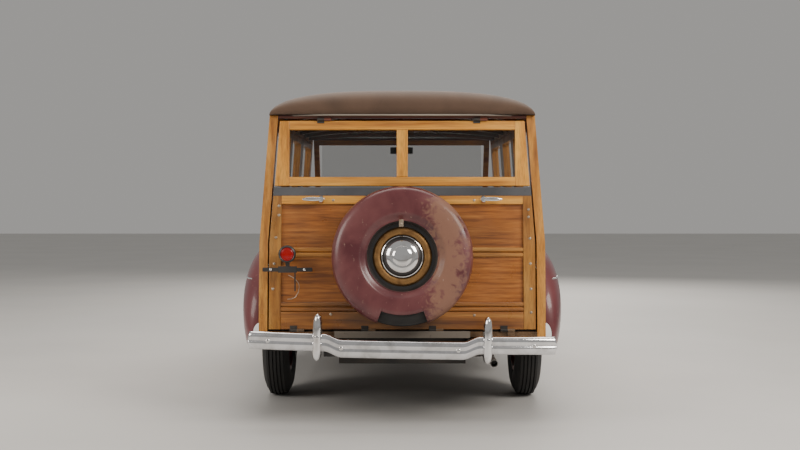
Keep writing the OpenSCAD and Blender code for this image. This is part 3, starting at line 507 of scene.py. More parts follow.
# ---------------------------------------------------------------- shapes
class Builder:
    """Gathers shapes into one mesh, then turns it into a named piece that rides on a body."""

    def __init__(self, at: Matrix | None = None) -> None:
        """Starts an empty mesh whose points are placed through a matrix."""
        self.bm = bmesh.new()
        self.at = at or Matrix.Identity(4)

    def rings(self, rings: Sequence[Sequence[Point]], round_off: bool, cap: bool) -> "Builder":
        """Skins a list of equal rings.

        Args:
            rings: Rings of points, all of one length.
            round_off: Whether each ring closes on itself.
            cap: Whether the first and last ring are filled.

        Returns:
            This builder.
        """
        rows = [[self.bm.verts.new(self.at @ Vector(p)) for p in ring] for ring in rings]
        for a, b in zip(rows, rows[1:]):
            count = len(a)
            for i in range(count if round_off else count - 1):
                j = (i + 1) % count
                self.bm.faces.new((a[i], a[j], b[j], b[i]))
        if cap:
            self.bm.faces.new(list(reversed(rows[0])))
            self.bm.faces.new(rows[-1])
        return self

    def box(self, lo: Point, hi: Point) -> "Builder":
        """Adds a box between two corners."""
        (x0, y0, z0), (x1, y1, z1) = lo, hi
        return self.prism([(x0, z0), (x1, z0), (x1, z1), (x0, z1)], y0, y1)

    def prism(self, outline: Sequence[tuple[float, float]], y0: float, y1: float) -> "Builder":
        """Extrudes an (x, z) outline along Y."""
        return self.rings([[(x, y, z) for x, z in outline] for y in (y0, y1)], True, True)

    def rod(self, a: Point, b: Point, r0: float, r1: float | None = None, sides: int = 24) -> "Builder":
        """Adds a cylinder or a cone between two points."""
        return self.lathe([(0.0, 0.0), (r0, 0.0), (r0 if r1 is None else r1, 1.0), (0.0, 1.0)], a,
                          Vector(b) - Vector(a), sides)

    def lathe(self, profile: Sequence[tuple[float, float]], centre: Point, axis: Vector, sides: int = 48,
              arc: tuple[float, float] = WHOLE) -> "Builder":
        """Turns a profile around an axis.

        Args:
            profile: (radius, share of the axis vector) pairs.
            centre: Where the axis vector starts.
            axis: Direction, whose length scales the profile's second value.
            sides: Facets round a full turn.
            arc: First and last angle in degrees.

        Returns:
            This builder.
        """
        turn = Vector(axis).to_track_quat("Z", "Y").to_matrix()
        start, end = (math.radians(v) for v in arc)
        whole = abs(arc[1] - arc[0] - 360.0) < 1e-6
        count = sides if whole else sides + 1
        size = Vector(axis).length
        rings = []
        for k in range(count):
            angle = start + (end - start) * k / sides
            rings.append([Vector(centre) + turn @ Vector((r * math.cos(angle), r * math.sin(angle), t * size))
                          for r, t in profile])
        if whole:
            rings.append(rings[0])
        return self.rings(rings, False, False)

    def lathe_facing(self, profile: Sequence[tuple[float, float]], centre: Point, axis: Vector, sides: int,
                     arc: tuple[float, float]) -> "Builder":
        """Turns a profile around a level axis, with 90 degrees at the top of the turn.

        Args:
            profile: (radius, distance along the axis) pairs.
            centre: Point on the axis that the distances start from.
            axis: Unit direction of the axis.
            sides: Facets round a full turn.
            arc: First and last angle in degrees.

        Returns:
            This builder.
        """
        up = Vector((0, 0, 1))
        side = Vector((1, 0, 0)) if abs(axis.y) > 0.5 else Vector((0, 1, 0))
        start, end = (math.radians(v) for v in arc)
        count = max(3, round(sides * abs(end - start) / (2 * math.pi)))
        rings = []
        for k in range(count + 1):
            angle = start + (end - start) * k / count
            rings.append([Vector(centre) + r * (math.cos(angle) * side + math.sin(angle) * up) + t * axis
                          for r, t in profile])
        return self.rings(rings, False, False)

    def tube(self, path: Sequence[Point], radius: float, sides: int = 12) -> "Builder":
        """Sweeps a round section along a path.

        Args:
            path: Points along the middle.
            radius: Radius of the section.
            sides: Facets round the section.

        Returns:
            This builder.
        """
        points = [Vector(p) for p in path]
        rings = []
        for i, here in enumerate(points):
            ahead = (points[min(i + 1, len(points) - 1)] - points[max(i - 1, 0)]).normalized()
            side = ahead.cross(Vector((0.31, 0.2, 0.93))).normalized()
            up = side.cross(ahead)
            rings.append([here + radius * (math.cos(2 * math.pi * k / sides) * side
                                           + math.sin(2 * math.pi * k / sides) * up) for k in range(sides)])
        return self.rings(rings, True, True)

    def skin(self, shape: Callable[[float, float], Point], across: int, rows: int) -> "Builder":
        """Adds an open surface from a function of two shares from 0 to 1.

        Args:
            shape: Gives a point for a share across and a share along.
            across: Faces across.
            rows: Faces along.

        Returns:
            This builder.
        """
        return self.rings([[shape(i / across, j / rows) for i in range(across + 1)] for j in range(rows + 1)],
                          False, False)

    def dome(self, centre: Point, axis: Point, radius: float, height: float, sides: int = 24) -> "Builder":
        """Adds a domed button such as a carriage bolt's head.

        Args:
            centre: Middle of the button's foot.
            axis: Direction in which it stands out.
            radius: Radius of the foot.
            height: Height of the crown.
            sides: Facets round the button.

        Returns:
            This builder.
        """
        steps = 6
        profile = [(radius, 0.0)] + [(radius * math.cos(0.5 * math.pi * k / steps),
                                      math.sin(0.5 * math.pi * k / steps)) for k in range(steps + 1)]
        return self.lathe([(r, 0.25 * (i > 0) + 0.75 * t if i else 0.0) for i, (r, t) in enumerate(profile)],
                          centre, Vector(axis).normalized() * height, sides)

    def piece(self, name: str, body: str, finish: str, slot: str, bevel: float = 0.0, crisp: float = 38.0,
              thick: float = 0.0, replaces: Sequence[str] = ()) -> bpy.types.Object:
        """Makes the object, gives it a finish and puts it on its body.

        Args:
            name: Name of the piece.
            body: CAD body that carries it.
            finish: Name of its material.
            slot: Material slot of the record; it is not used.
            bevel: Width of the rounding on sharp edges.
            crisp: Angle in degrees over which an edge stays sharp.
            thick: Thickness given to an open surface.
            replaces: CAD nodes that it stands for.

        Returns:
            The new object.
        """
        bmesh.ops.remove_doubles(self.bm, verts=self.bm.verts, dist=1e-6)
        bmesh.ops.dissolve_degenerate(self.bm, dist=1e-7, edges=self.bm.edges)
        bmesh.ops.recalc_face_normals(self.bm, faces=self.bm.faces)
        for face in self.bm.faces:
            face.smooth = True
        for edge in self.bm.edges:
            edge.smooth = len(edge.link_faces) != 2 or edge.calc_face_angle(0.0) < math.radians(crisp)
        mesh = bpy.data.meshes.new(name)
        self.bm.to_mesh(mesh)
        self.bm.free()
        thing = bpy.data.objects.new(name, mesh)
        bpy.context.scene.collection.objects.link(thing)
        mesh.materials.append(MATERIALS[finish])
        if thick:
            shell = thing.modifiers.new("thickness", "SOLIDIFY")
            shell.thickness = thick
            shell.offset = 0.0
        if bevel:
            edge = thing.modifiers.new("rounding", "BEVEL")
            edge.width = bevel
            edge.segments = 2
            edge.limit_method = "ANGLE"
            edge.angle_limit = math.radians(40)
            edge.harden_normals = True
        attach(thing, body)
        if replaces:
            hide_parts(*replaces)
        log.info("piece %s on %s", name, body)
        return thing


def corners(node: str) -> tuple[Vector, Vector]:
    """Returns a CAD node's lowest and highest corner."""
    lo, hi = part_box(node)
    return Vector(lo), Vector(hi)


def joint_at(frame: dict, name: str) -> Vector:
    """Returns where a joint's axis stands."""
    return next(Vector(j["pos_m"]) for j in frame["joints"] if j["name"] == name)


def smooth_step(value: float) -> float:
    """Eases a share from 0 to 1."""
    value = max(0.0, min(1.0, value))
    return value * value * (3.0 - 2.0 * value)


def dome_of(share: float, power: float) -> float:
    """Returns a superellipse's height at a share of its half width."""
    return max(0.0, 1.0 - min(1.0, abs(share)) ** power) ** (1.0 / power)


def signed_power(value: float, power: float) -> float:
    """Raises a size to a power and keeps its sign."""
    return math.copysign(abs(value) ** power, value)


# ---------------------------------------------------------------- the gates
@dataclass
class GateFrame:
    """Frame of the leaning tail: x across, y inward from the outer face, z up the face."""

    hinge_r: float = 0.008
    half_gap: float = 0.004
    matrix: Matrix = field(default_factory=Matrix)
    edge: float = 0.711
    bend: float = 0.46
    taper: float = 0.0732
    spare: tuple[float, float, float] = (0.0, -0.141, 0.38)

    def build(self, frame: dict) -> "GateFrame":
        """Finds the frame from the two gates' hinge axes.

        Args:
            frame: The loaded frame, with its joints.

        Returns:
            This frame.
        """
        low, high = joint_at(frame, "tailgate_drop"), joint_at(frame, "liftgate_lift")
        lean = math.atan2(high.y - low.y, high.z - low.z)
        turn = Matrix.Rotation(-lean, 4, "X")
        origin = low - turn.to_3x3() @ Vector((0, -self.hinge_r, -self.half_gap))
        self.matrix = Matrix.Translation(origin) @ turn
        self.edge = corners("tailgate")[1].x
        return self

    def half(self, v: float) -> float:
        """Returns the gate's half width at a height up its face."""
        return self.edge - max(0.0, v - self.bend) * self.taper

    def builder(self) -> Builder:
        """Starts a mesh in this frame."""
        return Builder(self.matrix)


@dataclass
class Tailgate:
    """Panelled lower gate with its rails, beads, bolts and the ears of the spare's carrier."""

    height: float = 0.715
    thick: float = 0.042
    stile: float = 0.064
    foot: float = 0.093
    top: float = 0.046
    recess: float = 0.014
    beads: tuple[float, ...] = (0.107, 0.134, 0.398, 0.426)
    bead_r: float = 0.0125
    bolts: tuple[tuple[float, float], ...] = (
        (0.676, 0.64), (0.676, 0.6), (0.683, 0.485), (0.684, 0.35), (0.686, 0.215), (0.686, 0.09),
        (-0.66, 0.66), (-0.66, 0.61), (-0.676, 0.49), (-0.684, 0.35), (-0.69, 0.215),
        (0.385, 0.69), (-0.37, 0.69), (0.383, 0.075), (-0.38, 0.08))
    hinges: tuple[float, ...] = (-0.56, -0.18, 0.18, 0.56)
    hinge_w: float = 0.038
    lap: float = 0.0004
    ears: tuple[tuple[Point, Point], ...] = (((0.054, -0.044, 0.722), (0.066, 0.0, 0.75)),
                                             ((0.088, -0.0025, 0.705), (0.12, 0.0015, 0.73)))

    def build(self, gate: GateFrame) -> None:
        """Builds every piece of the gate."""
        self._frame(gate)
        self._fittings(gate)

    def _frame(self, gate: GateFrame) -> None:
        """Builds the stiles, rails, panels and beads.

        Args:
            gate: Frame of the leaning tail.
        """
        inner = gate.half(self.height / 2) - self.stile
        for side, name in SIDES:
            outline = [(side * gate.half(v), v) for v in (0.0, gate.bend, self.height)]
            outline += [(side * inner, self.height), (side * inner, 0.0)]
            gate.builder().prism(outline, 0.0, self.thick).piece(
                f"tailgate_stile_{name}", "tailgate", "stile_wood", "ash", 0.003, replaces=("tailgate",))
        for name, finish, low, high in (("top", "gold_along_x", self.height - self.top, self.height),
                                        ("foot", "aged_along_x", 0.0, self.foot)):
            rail = gate.builder().box((-inner + self.lap, 0.0, low), (inner - self.lap, self.thick, high))
            rail.piece(f"tailgate_{name}_rail", "tailgate", finish, "ash", 0.003)
        for name, low, high in (("lower", self.foot, self.beads[2]),
                                ("upper", self.beads[2], self.height - self.top)):
            gate.builder().box((-inner, self.recess, low), (inner, self.thick, high)).piece(
                f"tailgate_panel_{name}", "tailgate", "mahogany_along_x", "mahogany", 0.0006)
        for k, v in enumerate(self.beads):
            gate.builder().lathe([(0, 0), (self.bead_r, 0), (self.bead_r, 1), (0, 1)], (-inner, self.recess, v),
                                 Vector((2 * inner, 0, 0)), 32).piece(
                f"tailgate_bead_{k}", "tailgate", "aged_along_x" if k < 2 else "ash_along_x", "ash")

    def _fittings(self, gate: GateFrame) -> None:
        """Builds the bolts, the hinges and the carrier's ears.

        Args:
            gate: Frame of the leaning tail.
        """
        bolts = gate.builder()
        for x, v in self.bolts:
            bolts.dome((x, 0.0006, v), BACK, 0.0075, 0.0032, 20)
        bolts.piece("tailgate_bolts", "tailgate", "bolt_steel", "steel")
        hinges = gate.builder()
        for x in self.hinges:
            hinges.rod((x - self.hinge_w, -gate.hinge_r, -gate.half_gap), (x, -gate.hinge_r, -gate.half_gap),
                       gate.hinge_r)
            hinges.box((x - self.hinge_w, -0.0032, -0.001), (x, 0.0015, 0.02))
        for side in (-1, 1):
            for a, b in self.ears:
                lo, hi = sorted((side * a[0], side * b[0]))
                hinges.box((lo, a[1], a[2]), (hi, b[1], b[2]))
        hinges.piece("tailgate_hinges", "tailgate", "chassis_black", "steel", 0.001)


@dataclass
class Liftgate:
    """Glazed upper gate: stiles, rails and a centre bar, lap-jointed."""

    thick: float = 0.042
    low: float = 0.768
    high: float = 1.12
    rail: float = 0.048
    bar: float = 0.03
    stile: float = 0.064
    side_gap: float = 0.004
    lap: float = 0.0004
    hinges: tuple[float, ...] = (-0.42, 0.42)
    hinge_w: float = 0.038

    def build(self, gate: GateFrame) -> None:
        """Builds the gate's frame.

        Args:
            gate: Frame of the leaning tail.
        """
        inner = gate.half((self.low + self.high) / 2) - self.side_gap - self.stile
        for side, name in SIDES:
            outline = [(side * (gate.half(v) - self.side_gap), v) for v in (self.low, self.high)]
            outline += [(side * inner, self.high), (side * inner, self.low)]
            gate.builder().prism(outline, 0.0, self.thick).piece(
                f"liftgate_stile_{name}", "liftgate", "gold_along_z", "ash", 0.003, replaces=("liftgate",))
        for name, low in (("top", self.high - self.rail), ("foot", self.low)):
            rail = gate.builder().box((-inner + self.lap, 0, low), (inner - self.lap, self.thick, low + self.rail))
            rail.piece(f"liftgate_{name}_rail", "liftgate", "gold_along_x", "ash", 0.003)
        bar = gate.builder().box((-self.bar, 0.0005, self.low + self.rail),
                                 (self.bar, self.thick, self.high - self.rail))
        bar.piece("liftgate_bar", "liftgate", "gold_along_z", "ash", 0.004)
        hinges = gate.builder()
        pin = self.high + 0.006
        for x in self.hinges:
            hinges.rod((x - self.hinge_w, -gate.hinge_r, pin), (x, -gate.hinge_r, pin), gate.hinge_r)
            hinges.box((x - self.hinge_w, -0.0032, self.high - 0.014), (x, 0.0015, self.high - 0.002))
        hinges.piece("liftgate_hinges", "liftgate", "chassis_black", "steel", 0.001)


@dataclass
class Latches:
    """Two chrome lever handles that point outward along the tailgate's top rail."""

    x: float = 0.434
    v: float = 0.693
    reach: float = 0.098
    stand: float = 0.034
    steps: int = 12

    def build(self, gate: GateFrame) -> None:
        """Builds both handles.

        Args:
            gate: Frame of the leaning tail.
        """
        for side, name in SIDES:
            made = gate.builder()
            made.lathe([(0.02, 0), (0.02, 0.1), (0.013, 0.25), (0.011, 0.8), (0.014, 0.9), (0.0, 1.0)],
                       (side * self.x, 0, self.v), Vector((0, -self.stand - 0.006, 0)), 32)
            rings = []
            for k in range(self.steps + 1):
                share = k / self.steps
                half = 0.0085 + 0.003 * math.sin(math.pi * share) - 0.003 * share ** 4
                x = side * (self.x + self.reach * share)
                y = -self.stand - 0.006 * math.sin(math.pi * share) + 0.004 * share
                rings.append([(x, y + 0.0052 * math.sin(a), self.v + half * math.cos(a))
                              for a in [2 * math.pi * n / 16 for n in range(16)]])
            made.rings(rings, True, True)
            made.piece(f"latch_{name}", "tailgate", "bright_chrome", "chrome", crisp=60,
                       replaces=("tailgate_latches",))


@dataclass
class Spare:
    """Covered spare wheel: painted cover, steel wheel with a domed hub cap, and a ribbed tyre."""

    half: float = 0.0798
    skin: float = 0.006
    open_angle: float = 21.0
    open_to: float = 0.302
    cap_r: float = 0.108
    sides: int = 144

    def build(self, gate: GateFrame) -> None:
        """Builds the cover and the wheel inside it.

        Args:
            gate: Frame of the leaning tail.
        """
        centre = Vector(gate.spare)
        h, t = self.half, self.skin
        face = [(0.186, h - 0.010), (0.187, h - 0.013), (0.192, h - 0.0125), (0.2, h - 0.008),
                (0.209, h - 0.001), (0.216, h + 0.004), (0.222, h + 0.0085), (0.232, h + 0.0098),
                (0.245, h + t + 0.0035), (0.28, h + t + 0.0058), (0.31, h + t + 0.004)]
        band = [(0.328, h + t), (0.337, h + t - 0.003), (0.345, h - 0.001), (0.354, h - 0.008), (0.3615, h - 0.02),
                (0.3655, 0.046), (0.3688, 0.03), (0.3688, 0.0), (0.3688, -0.03), (0.3688, -0.056), (0.3672, -0.06),
                (0.365, -0.0596)]
        cover = gate.builder()
        gap = self.open_angle
        short = face[:-1] + [(self.open_to, h + t + 0.0052), (self.open_to + 0.002, h + t + 0.003)]
        for profile, arc in ((face + band, (gap - 90.0, 270.0 - gap)), (short, (-90.0 - gap, gap - 90.0))):
            cover.lathe_facing(profile, centre, BACK, self.sides, arc)
        made = cover.piece("spare_cover_skin", "spare", "cover_burgundy", "maroon_paint", crisp=50, thick=0.0022,
                           replaces=("spare_cover",))
        made.modifiers["thickness"].offset = -1.0
        disc = gate.builder()
        disc.lathe_facing([(0.112, 0.03), (0.12, 0.0345), (0.13, 0.0365), (0.142, 0.035), (0.151, 0.029),
                           (0.158, 0.018), (0.168, 0.012), (0.175, 0.0115), (0.18, 0.016), (0.19, 0.026),
                           (0.196, 0.046), (0.2, 0.056), (0.212, 0.06), (0.2165, 0.063), (0.2165, 0.066), (0.205, 0.0655)],
                          centre, BACK, 96, WHOLE)
        disc.piece("spare_wheel_face", "spare", "wheel_gold", "wheel_gold", thick=0.0024)
        cap = gate.builder()
        cap.lathe_facing([(self.cap_r, 0.03), (self.cap_r + 0.001, 0.036), (self.cap_r - 0.006, 0.041),
                          (self.cap_r - 0.010, 0.0405), (self.cap_r - 0.014, 0.0445), (0.084, 0.057), (0.07, 0.0645),
                          (0.055, 0.0695), (0.052, 0.0685), (0.05, 0.071), (0.034, 0.075), (0.018, 0.0768),
                          (0.0, 0.0774)], centre, BACK, 96, WHOLE)
        cap.piece("spare_hub_cap", "spare", "bright_chrome", "chrome", crisp=60)
        tab = gate.builder()
        y = centre.y - h - 0.0105
        tab.box((-0.017, y - 0.003, centre.z + 0.152), (0.006, y + 0.024, centre.z + 0.189))
        tab.dome((-0.0055, y - 0.003, centre.z + 0.166), BACK, 0.006, 0.004)
        tab.piece("spare_lock_tab", "spare", "bolt_steel", "steel", 0.002)


@dataclass
class Tyre:
    """Cross-ply tyre whose tread has ribs that run round it."""

    name: str
    body: str
    node: str
    ribs: int = 5
    radius: float = 0.362
    half_w: float = 0.079
    rim: float = 0.204
    groove: float = 0.0042

    def build(self, gate: GateFrame | None = None) -> None:
        """Builds the tyre over its CAD ring.

        Args:
            gate: Frame that the spare tyre stands in; a road tyre stands in the car's own.
        """
        lo, hi = corners(self.node)
        centre, half_w, r = (lo + hi) / 2, self.half_w, self.radius
        axis = Vector((1, 0, 0))
        if gate:
            centre, axis = Vector(gate.spare), Vector((0, 1, 0))
        profile = [(self.rim, -0.052), (0.222, -0.0655), (0.245, -half_w + 0.004), (0.275, -half_w),
                   (0.3, -half_w + 0.002), (0.325, -half_w + 0.012), (0.343, -half_w + 0.024)]
        crown = half_w - 0.026
        for k in range(self.ribs):
            a = -crown + 2 * crown * k / self.ribs
            b = -crown + 2 * crown * (k + 1) / self.ribs
            for x, deep in ((a + 0.0012, 0.009), (a + self.groove, 0.0),
                            (b - self.groove, 0.0), (b - 0.0012, 0.009)):
                profile.append((r - 0.006 * (x / crown) ** 2 - deep, x))
        profile += [(q, -x) for q, x in reversed(profile[:7])]
        made = gate.builder() if gate else Builder()
        made.lathe_facing(profile, centre, axis, 112, WHOLE)
        made.piece(self.name, self.body, "tyre_rubber", "tyre", crisp=50, replaces=(self.node,))


@dataclass
class RoadWheel:
    """Dressing of one road wheel: a domed hub cap on the CAD's own disc."""

    body: str
    side: int
    proud: float = 0.073

    def build(self) -> None:
        """Builds the hub cap."""
        lo, hi = corners(self.body)
        out = hi.x if self.side > 0 else lo.x
        axis = Vector((self.side, 0, 0))
        base = Vector((out, (lo.y + hi.y) / 2, (lo.z + hi.z) / 2)) - axis * self.proud
        cap = Builder()
        cap.lathe_facing([(0.112, 0.024), (0.1125, 0.031), (0.1085, 0.036), (0.103, 0.0445), (0.092, 0.0535),
                          (0.075, 0.062), (0.055, 0.0685), (0.052, 0.068), (0.049, 0.0705), (0.035, 0.0728),
                          (0.018, 0.0742), (0.0, 0.0746)], base, axis, 72, WHOLE)
        cap.piece(f"{self.body}_hub_cap", self.body, "chrome", "chrome", crisp=60)


@dataclass
class TailLamp:
    """Round red lamp on a bracket with its plate bar and a bent wire."""

    rim_r: float = 0.046
    bar_in: float = 0.0272
    bar_t: float = 0.006
    wire: tuple[tuple[float, float], ...] = (
        (0.004, -0.112), (0.012, -0.116), (0.026, -0.122), (0.044, -0.137), (0.058, -0.155), (0.062, -0.176),
        (0.056, -0.205), (0.042, -0.228), (0.02, -0.238), (-0.002, -0.24))

    def build(self) -> None:
        """Builds the lamp's pieces."""
        lo, hi = corners("tail_lamp")
        x = (lo.x + hi.x) / 2
        face = lo.y
        z = hi.z - self.rim_r
        body = Builder()
        at = Vector((x, face, z))
        body.lathe_facing([(0.0, -0.098), (0.033, -0.098), (0.035, -0.06), (0.038, -0.035), (0.041, -0.022),
                           (0.043, -0.0165)], at, BACK, 48, WHOLE)
        body.box((x - 0.011, face + 0.032, z - 0.095), (x + 0.011, face + 0.043, z - 0.03))
        body.piece("lamp_body", "tailgate", "lamp_black", "dark_plastic", 0.001, replaces=("tail_lamp",))
        rim = Builder()
        rim.lathe_facing([(0.0425, -0.018), (0.0462, -0.0165), (0.0462, -0.0085), (0.0435, -0.003),
                          (0.0385, -0.0004), (0.0365, -0.0016), (0.0355, -0.008)], at, BACK, 48, WHOLE)
        rim.piece("lamp_rim", "tailgate", "lamp_black", "dark_plastic")
        lens = Builder()
        lens.lathe_facing([(0.0366, -0.0085), (0.0345, -0.0045), (0.031, -0.006), (0.0275, -0.0026),
                           (0.0235, -0.0046), (0.0195, -0.0016), (0.0155, -0.0036), (0.0115, -0.0008),
                           (0.0075, -0.0026), (0.0, 0.0)],
                          at, BACK, 48, WHOLE)
        lens.piece("lamp_lens", "tailgate", "red_lens", "lamp_red", crisp=70)
        bar = Builder()
        y0, y1 = face + self.bar_in, face + self.bar_in + self.bar_t
        for part in (((x - 0.132, y0, z - 0.0935), (x + 0.132, y1, z - 0.0725)),
                     ((x - 0.05, y0 - 0.003, z - 0.099), (x + 0.05, y0, z - 0.065)),
                     ((x + 0.036, y0, z - 0.198), (x + 0.043, y1, z - 0.1))):
            bar.box(*part)
        bar.piece("plate_bar", "tailgate", "lamp_black", "dark_plastic", 0.0015)
        wire = Builder()
        wire.tube([(x + a, y0 + 0.004, z + b) for a, b in self.wire], 0.0022, 10)
        wire.piece("plate_wire", "tailgate", "bolt_steel", "steel")
        bolts = Builder()
        for s in (-1, 1):
            bolts.dome((x + s * 0.089, y0, z - 0.083), BACK, 0.007, 0.004)
        bolts.piece("plate_bolts", "tailgate", "chrome", "chrome")


@dataclass
class Bumper:
    """Chrome bar with a lengthwise crease, a dipped centre, bolts and two guards."""

    name: str
    node: str
    facing: int
    half: float = 0.795
    height: float = 0.0462
    deep: float = 0.034
    bow: float = 0.066
    dip: float = 0.029
    tilt: float = 0.0192
    centre_z: float = 0.444
    stand: float = 0.025
    guard_x: float = 0.434
    guard_low: float = -0.092
    guard_h: float = 0.242
    face: float = 0.0
    section: tuple[tuple[float, float], ...] = (
        (1.0, -0.98), (0.62, -1.0), (0.33, -0.965), (0.16, -0.85), (0.06, -0.62), (0.01, -0.36), (0.0, -0.2),
        (0.07, -0.08), (0.135, 0.0), (0.1, 0.1), (0.03, 0.26), (0.0, 0.45), (0.05, 0.66), (0.17, 0.86),
        (0.35, 0.965), (0.62, 1.0), (1.0, 0.98))

    def _at(self, x: float, y: float, z: float) -> Vector:
        """Places a point given as across, in from the bar's face and above its middle."""
        c, s = math.cos(self.tilt), math.sin(self.tilt)
        return Vector((x * c + z * s, self.face - self.facing * y, self.centre_z - x * s + z * c))

    def _swept(self, x: float) -> float:
        """Returns how far the bar has swept back at a place across."""
        return self.bow * abs(x / self.half) ** 2.6

    def build(self) -> None:
        """Builds the bar, its bolts and its guards."""
        lo, hi = corners(self.node)
        self.face = lo.y + self.stand if self.facing < 0 else hi.y - self.stand
        last = len(self.section) - 1

        def shape(u: float, v: float) -> Vector:
            """Returns a point of the bar, round its section and along it.

            Args:
                u: Share of the way round the section.
                v: Share of the way across the car.

            Returns:
                The point.
            """
            share = 2 * v - 1
            x = self.half * (0.72 * share + 0.28 * math.sin(math.pi / 2 * share))
            drop = -self.dip * (1 - smooth_step((abs(x) - 0.31) / 0.09))
            size = self.height * max(0.35, dome_of(share, 34))
            y, z = self.section[min(last, round(u * last))]
            return self._at(x, self.deep * y + self._swept(x), size * z + drop)

        bar = Builder().skin(shape, last, 150)
        made = bar.piece(f"{self.name}_bar", "car", "chrome", "chrome", crisp=70, thick=0.003,
                         replaces=(self.node,))
        made.modifiers["thickness"].offset = -1.0
        bolts = Builder()
        for x, z in ((-0.69, 0.0), (-0.312, -0.026), (0.286, -0.026), (0.675, 0.0)):
            bolts.dome(self._at(x, self._swept(x) + 0.004, z), (0, self.facing, 0), 0.011, 0.0058)
        bolts.piece(f"{self.name}_bolts", "car", "bright_chrome", "chrome")
        for side, label in SIDES:
            self._guard(side, label)

    def _guard(self, side: int, label: str) -> None:
        """Builds one guard and the bolt that holds it.

        Args:
            side: Minus one on the left, one on the right.
            label: Name of the side.
        """
        guard = Builder()
        rings = []
        steps, turns, root = 24, 20, 0.03
        for k in range(steps + 1):
            share = k / steps
            z = self.guard_low + self.guard_h * share
            width = 0.025 * dome_of(2 * share - 1, 3.2)
            out = -self.stand * dome_of(2 * share - 1, 2.8)
            rings.append([self._at(side * self.guard_x + width * math.cos(a),
                                   root + (out - root) * max(0.0, math.sin(a)) ** 0.55, z)
                          for a in [math.pi * n / turns for n in range(turns + 1)]])
        guard.rings(rings, True, True)
        guard.dome(self._at(side * self.guard_x, -self.stand, root), (0, self.facing, 0), 0.012, 0.005)
        guard.piece(f"{self.name}_guard_{label}", "car", "bright_chrome", "chrome", crisp=60)


@dataclass
class Roof:
    """Fabric roof over bows and slats, with a drip bead round its edge."""

    power: float = 2.7
    along_power: float = 4.5
    skin: float = 0.012
    slats: int = 19
    crown: tuple[float, float] = (1.722, 1.64)
    foot: float = 1.628
    bow_w: float = 0.028

    def build(self) -> None:
        """Builds the fabric, the bead and the slats under it."""
        lo, hi = corners("roof_cover")
        mid, half = (lo.y + hi.y) / 2, (hi.y - lo.y) / 2 + 0.001
        edge, rise, eave = hi.x, hi.z - lo.z - self.skin, lo.z

        def cloth(u: float, v: float) -> Vector:
            """Returns a point of the fabric, over the car and along it.

            Args:
                u: Share of the way over, from the right eave.
                v: Share of the way along.

            Returns:
                The point.
            """
            share = -math.cos(math.pi * v)
            climb = dome_of(share, self.along_power)
            angle = math.pi * u
            up = max(0.004, rise * climb) + self.skin * (0.3 + 0.7 * climb)
            sag = 0.0012 * math.sin(38 * v) * math.sin(math.pi * u) ** 2
            return Vector((edge * signed_power(math.cos(angle), 2 / self.power), mid + half * share,
                           eave + up * signed_power(math.sin(angle), 2 / self.power) - sag))

        fabric = Builder().skin(cloth, 64, 120)
        made = fabric.piece("roof_fabric", "car", "roof_canvas", "roof_fabric", crisp=80, thick=0.003,
                            replaces=("roof_cover",))
        made.modifiers["thickness"].offset = -1.0
        trim = Builder()
        ring = []
        for k in range(161):
            angle = 2 * math.pi * k / 160
            ring.append((edge * signed_power(math.cos(angle), 0.28),
                         mid + half * signed_power(math.sin(angle), 0.2), eave + 0.001))
        trim.tube(ring, 0.0052, 10)
        trim.piece("roof_drip_bead", "car", "sill_paint", "roof_fabric")
        wide = corners("roof_bows")[1].x - 0.006

        def ceiling(x: float, y: float) -> float:
            """Returns the bows' underside at a place.

            Args:
                x: Place across.
                y: Place along.

            Returns:
                The height.
            """
            share = (y - lo.y) / (hi.y - lo.y)
            top = self.crown[0] + (self.crown[1] - self.crown[0]) * max(0.0, share) ** 1.5
            return self.foot + (top - self.foot) * (1 - min(1.0, abs(x / wide)) ** 2.4)

        for k in range(self.slats):
            x = wide * 0.93 * (2 * k / (self.slats - 1) - 1)

            def strip(a: float, v: float, x: float = x) -> Vector:
                """Returns a point of one slat.

                Args:
                    a: Share of the slat's width.
                    v: Share of its length.
                    x: Middle of the slat.

                Returns:
                    The point.
                """
                y = lo.y + 0.1 + (hi.y - lo.y - 0.2) * v
                across = x + (a - 0.5) * 0.042
                return Vector((across, y, ceiling(across, y) + 0.005))

            Builder().skin(strip, 2, 40).piece(f"roof_slat_{k}", "car", "slat_light", "ash", thick=0.006)

        def lining(u: float, v: float) -> Vector:
            """Returns a point of the lining over the slats."""
            x, y = wide * (2 * u - 1), lo.y + 0.06 + (hi.y - lo.y - 0.12) * v
            return Vector((x, y, ceiling(x, y) + 0.011))

        Builder().skin(lining, 32, 40).piece("roof_lining", "car", "slat_dark", "roof_fabric", thick=0.002)


def nose_half(y: float) -> float:
    """Returns half the width of the cowl and nose at a place along the car.

    Args:
        y: Place along the car.

    Returns:
        The half width.
    """
    cowl, firewall, long, side, nose = 0.68, 0.86, 1.4, 0.7644, 0.5454
    if y < cowl:
        return side
    if y < firewall:
        return side + (nose - side) * (y - cowl) / (firewall - cowl)
    return nose * max(0.0, 1 - ((y - firewall) / long) ** 1.7) ** 0.62


